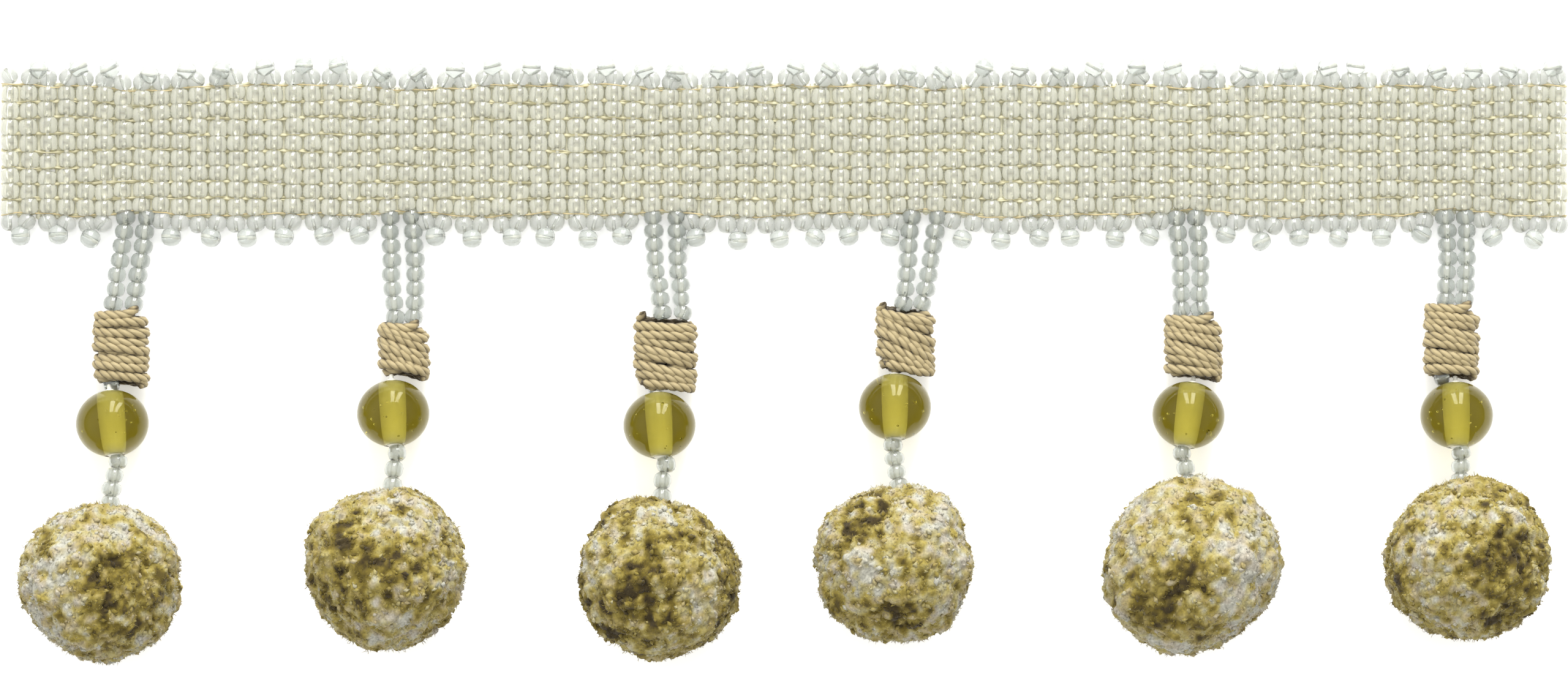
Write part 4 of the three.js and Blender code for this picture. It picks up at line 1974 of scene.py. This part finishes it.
    def grown(self, kind: Sprouts, root: Array, tip: Array, radius: Array) -> Surface:
        """Spindles from roots to tips, each bowed a little."""
        bow = self.rng.normal(0, kind.bow, root.shape)
        return strands(root, tip, bow, radius, kind.sides, np.array([[kind.widest, 1.0]]))

    def cut_ends(self) -> Surface:
        """Single yarn ends: small uneven spindles, half sunk in the tufts, and most of them lighter.

        Returns:
            The tinted ends, none of them close to the neck.
        """
        way, root, tip, level = self.sprouting(self.ends)
        radius = self.rng.uniform(*self.end_radius, (len(way), 1)) * np.array(self.end_shape)
        ends = self.grown(self.ends, root, tip, radius)
        # Dark ends differ less from their tufts.
        lighter = self.rng.normal(*self.end_light, len(way)) * np.clip(2.5 * level, 0.2, 1)
        ends.tint = np.repeat(self.colours(way, level + lighter), len(ends.points) // len(way), 0)
        return ends

    def fuzz(self) -> Surface:
        """Loose fibres that stand out of the tufts and soften the ball's outline, and are a little lighter.

        Returns:
            The tinted fibres, none of them close to the neck.
        """
        way, root, tip, level = self.sprouting(self.fibres)
        loose = self.grown(self.fibres, root, tip, np.full((len(way), 2), self.fibre_radius))
        lighter, brighter = self.fibre_light
        tint = brighter * self.colours(way, level + lighter)
        loose.tint = np.repeat(tint, len(loose.points) // len(way), 0)
        return loose

    def build(self, yarn: Material) -> None:
        """Builds the ball and flattens what would lie under the surface that the trim lies on.

        Args:
            yarn: the yarn's finish.
        """
        whole = Surface.joined([self.ball(), self.cut_ends(), self.fuzz()])
        whole.points[:, 2] = np.maximum(whole.points[:, 2], self.clearance)
        whole.piece(f"yarn_pompom_{self.number}", yarn, Slot.YARN, [f"pompom_{self.number}"])


@dataclass
class Studio:
    """The pale floor, the soft light and the camera straight above the trim.

    Attributes:
        frame_mm: width of the view at the band.
        lift_mm: how far the view's middle lies above the trim's.
        band_mm: height of the band's middle above the floor.
        lens: focal length, in millimetres.
        sensor: width of the picture in the camera, in millimetres.
        floor_m: half of the floor's width.
        strips_m: x of each strip light.
        strip_size_m: width and height of a strip light.
        strip_away_m: how far beyond the band and how far up a strip light stands.
        strip_tilt: how far it tips towards the band, in degrees.
        strip_watts: its power.
        dome_light: the dome's strength at the horizon and overhead.
        dome_rise: how high up, as a part of a unit vector, it reaches the strength overhead.
        dome_lean: how much stronger it gets towards x, y and z.
    """

    frame_mm: float = 173.6
    lift_mm: float = 1.6
    band_mm: float = 1.0
    lens: float = 100.0
    sensor: float = 36.0
    floor_m: float = 1.0
    strips_m: tuple[tuple[str, float], ...] = (("left_strip", -0.04), ("right_strip", 0.17))
    strip_size_m: tuple[float, float] = (0.13, 0.6)
    strip_away_m: tuple[float, float] = (0.62, 0.32)
    strip_tilt: float = 63.0
    strip_watts: float = 3.4
    dome_light: tuple[float, float] = (0.12, 1.3)
    dome_rise: float = 0.55
    dome_lean: tuple[float, float, float] = (-0.22, 0.3, 0.0)

    def build(self) -> None:
        """Builds the floor, the dome, the lights and the camera."""
        self.floor()
        self.dome()
        for name, x in self.strips_m:
            self.strip(name, x)
        self.camera()

    def floor(self) -> None:
        """A flat, pale table top under the trim."""
        half = self.floor_m
        corners = [(-half, -half, 0), (half, -half, 0), (half, half, 0), (-half, half, 0)]
        mesh = bpy.data.meshes.new("table_top")
        mesh.from_pydata(corners, [], [(0, 1, 2, 3)])
        mesh.materials.append(LightTable().material())
        sheet = bpy.data.objects.new("table_top", mesh)
        bpy.context.scene.collection.objects.link(sheet)

    def dome(self) -> None:
        """A white dome, darker at the horizon for soft grey edges on glass, and lighter at the upper left.

        Its strength is rise + rise x (heading . lean), where rise grows with the height of the heading.
        """
        world = bpy.data.worlds.new("light_tent")
        world.use_nodes = True
        tree = world.node_tree
        tree.nodes.clear()
        heading = add_node(tree, "ShaderNodeTexCoord").outputs["Generated"]
        parts = add_node(tree, "ShaderNodeSeparateXYZ", links={0: heading})
        low, high = self.dome_light
        rise = add_node(
            tree, "ShaderNodeMapRange",
            values={"From Min": 0.0, "From Max": self.dome_rise, "To Min": low, "To Max": high},
            links={"Value": parts.outputs[2]},
        )
        towards = add_node(
            tree, "ShaderNodeVectorMath", {"operation": "DOT_PRODUCT"}, {1: self.dome_lean}, {0: heading},
        )
        strength = add_node(
            tree, "ShaderNodeMath", {"operation": "MULTIPLY_ADD"},
            links={0: towards.outputs["Value"], 1: rise.outputs[0], 2: rise.outputs[0]},
        )
        light = add_node(
            tree, "ShaderNodeBackground", values={"Color": (1, 1, 1, 1)},
            links={"Strength": strength.outputs[0]},
        )
        add_node(tree, "ShaderNodeOutputWorld", links={"Surface": light.outputs[0]})
        bpy.context.scene.world = world

    def strip(self, name: str, x: float) -> None:
        """A tall strip light beyond the band, which puts a short upright light on every bead.

        Args:
            name: of the light.
            x: its place along the band, in metres.
        """
        beyond, up = self.strip_away_m
        data = bpy.data.lights.new(name, "AREA")
        data.shape = "RECTANGLE"
        data.size, data.size_y = self.strip_size_m
        data.energy = self.strip_watts
        lamp = bpy.data.objects.new(name, data)
        bpy.context.scene.collection.objects.link(lamp)
        lamp.location = (x, beyond, up)
        lamp.rotation_euler = (math.radians(self.strip_tilt), 0, math.pi - math.atan2(x, beyond))

    def camera(self) -> None:
        """A long lens straight above, with the band's top towards the top of the picture."""
        data = bpy.data.cameras.new("camera")
        data.lens, data.sensor_width = self.lens, self.sensor
        eye = bpy.data.objects.new("camera", data)
        bpy.context.scene.collection.objects.link(eye)
        distance = self.frame_mm * self.lens / self.sensor
        eye.location = (0, self.lift_mm * MM, (distance + self.band_mm) * MM)
        bpy.context.scene.camera = eye
        bpy.context.scene.view_settings.view_transform = "Standard"


def main() -> None:
    """Builds every piece in order; each piece notes its own number of points and faces."""
    logging.basicConfig(level=logging.INFO, format="%(name)s: %(message)s")
    seed_glass = SeedGlass().material()
    # The picots' and the legs' beads are the same clear glass, greyed as painted shade for the grey that
    # clear glass shows over a white ground.
    edge_glass_painted_shade = SeedGlass("edge_seed_glass_painted_shade", "eaece6").material()
    tip_glass_painted_shade = SeedGlass("tip_seed_glass_painted_shade", "e7ebe6").material()
    leg_glass_painted_shade = SeedGlass("leg_seed_glass_painted_shade", "cacfc9").material()
    # Each thread's third colour is its painted shade in grooves and bores; the straw's is its fine edge
    # threads' colour.
    cotton = SpunFibre("ivory_cotton_thread", "f5f3e0", "ebe8cc", "ebe8cc").material()
    straw = SpunFibre("straw_warp_thread", "e9e4c4", "d9d0a4", "cbb98a").material()
    waxed = SpunFibre("waxed_weft_thread", "f6f4e8", "eceadb", "85836f").material()
    cord = SpunFibre("tan_twisted_cord", "b3a57f", "938157", "3c2f14", streaks=9.0, bump=0.35).material()
    olive = OliveGlass().material()
    yarn = CutYarn().material()

    numbers = range(1, len(LOOKS) + 1)
    lines = [(MiddleLine(f"leg_left_{n}"), MiddleLine(f"leg_right_{n}")) for n in numbers]
    roots = np.array([(left.at(left.top)[0] + right.at(right.top)[0]) / 2 for left, right in lines])
    Band(roots).build(seed_glass, edge_glass_painted_shade, tip_glass_painted_shade, cotton, straw, waxed)
    for number, look in zip(numbers, LOOKS):
        BeadLegs(number, look).build(leg_glass_painted_shade, waxed)
        CordWrap(number, look).build(cord)
        OliveBead(number).build(olive)
        Pompom(number, look).build(yarn)
    Studio().build()


if __name__ == "__main__":
    main()
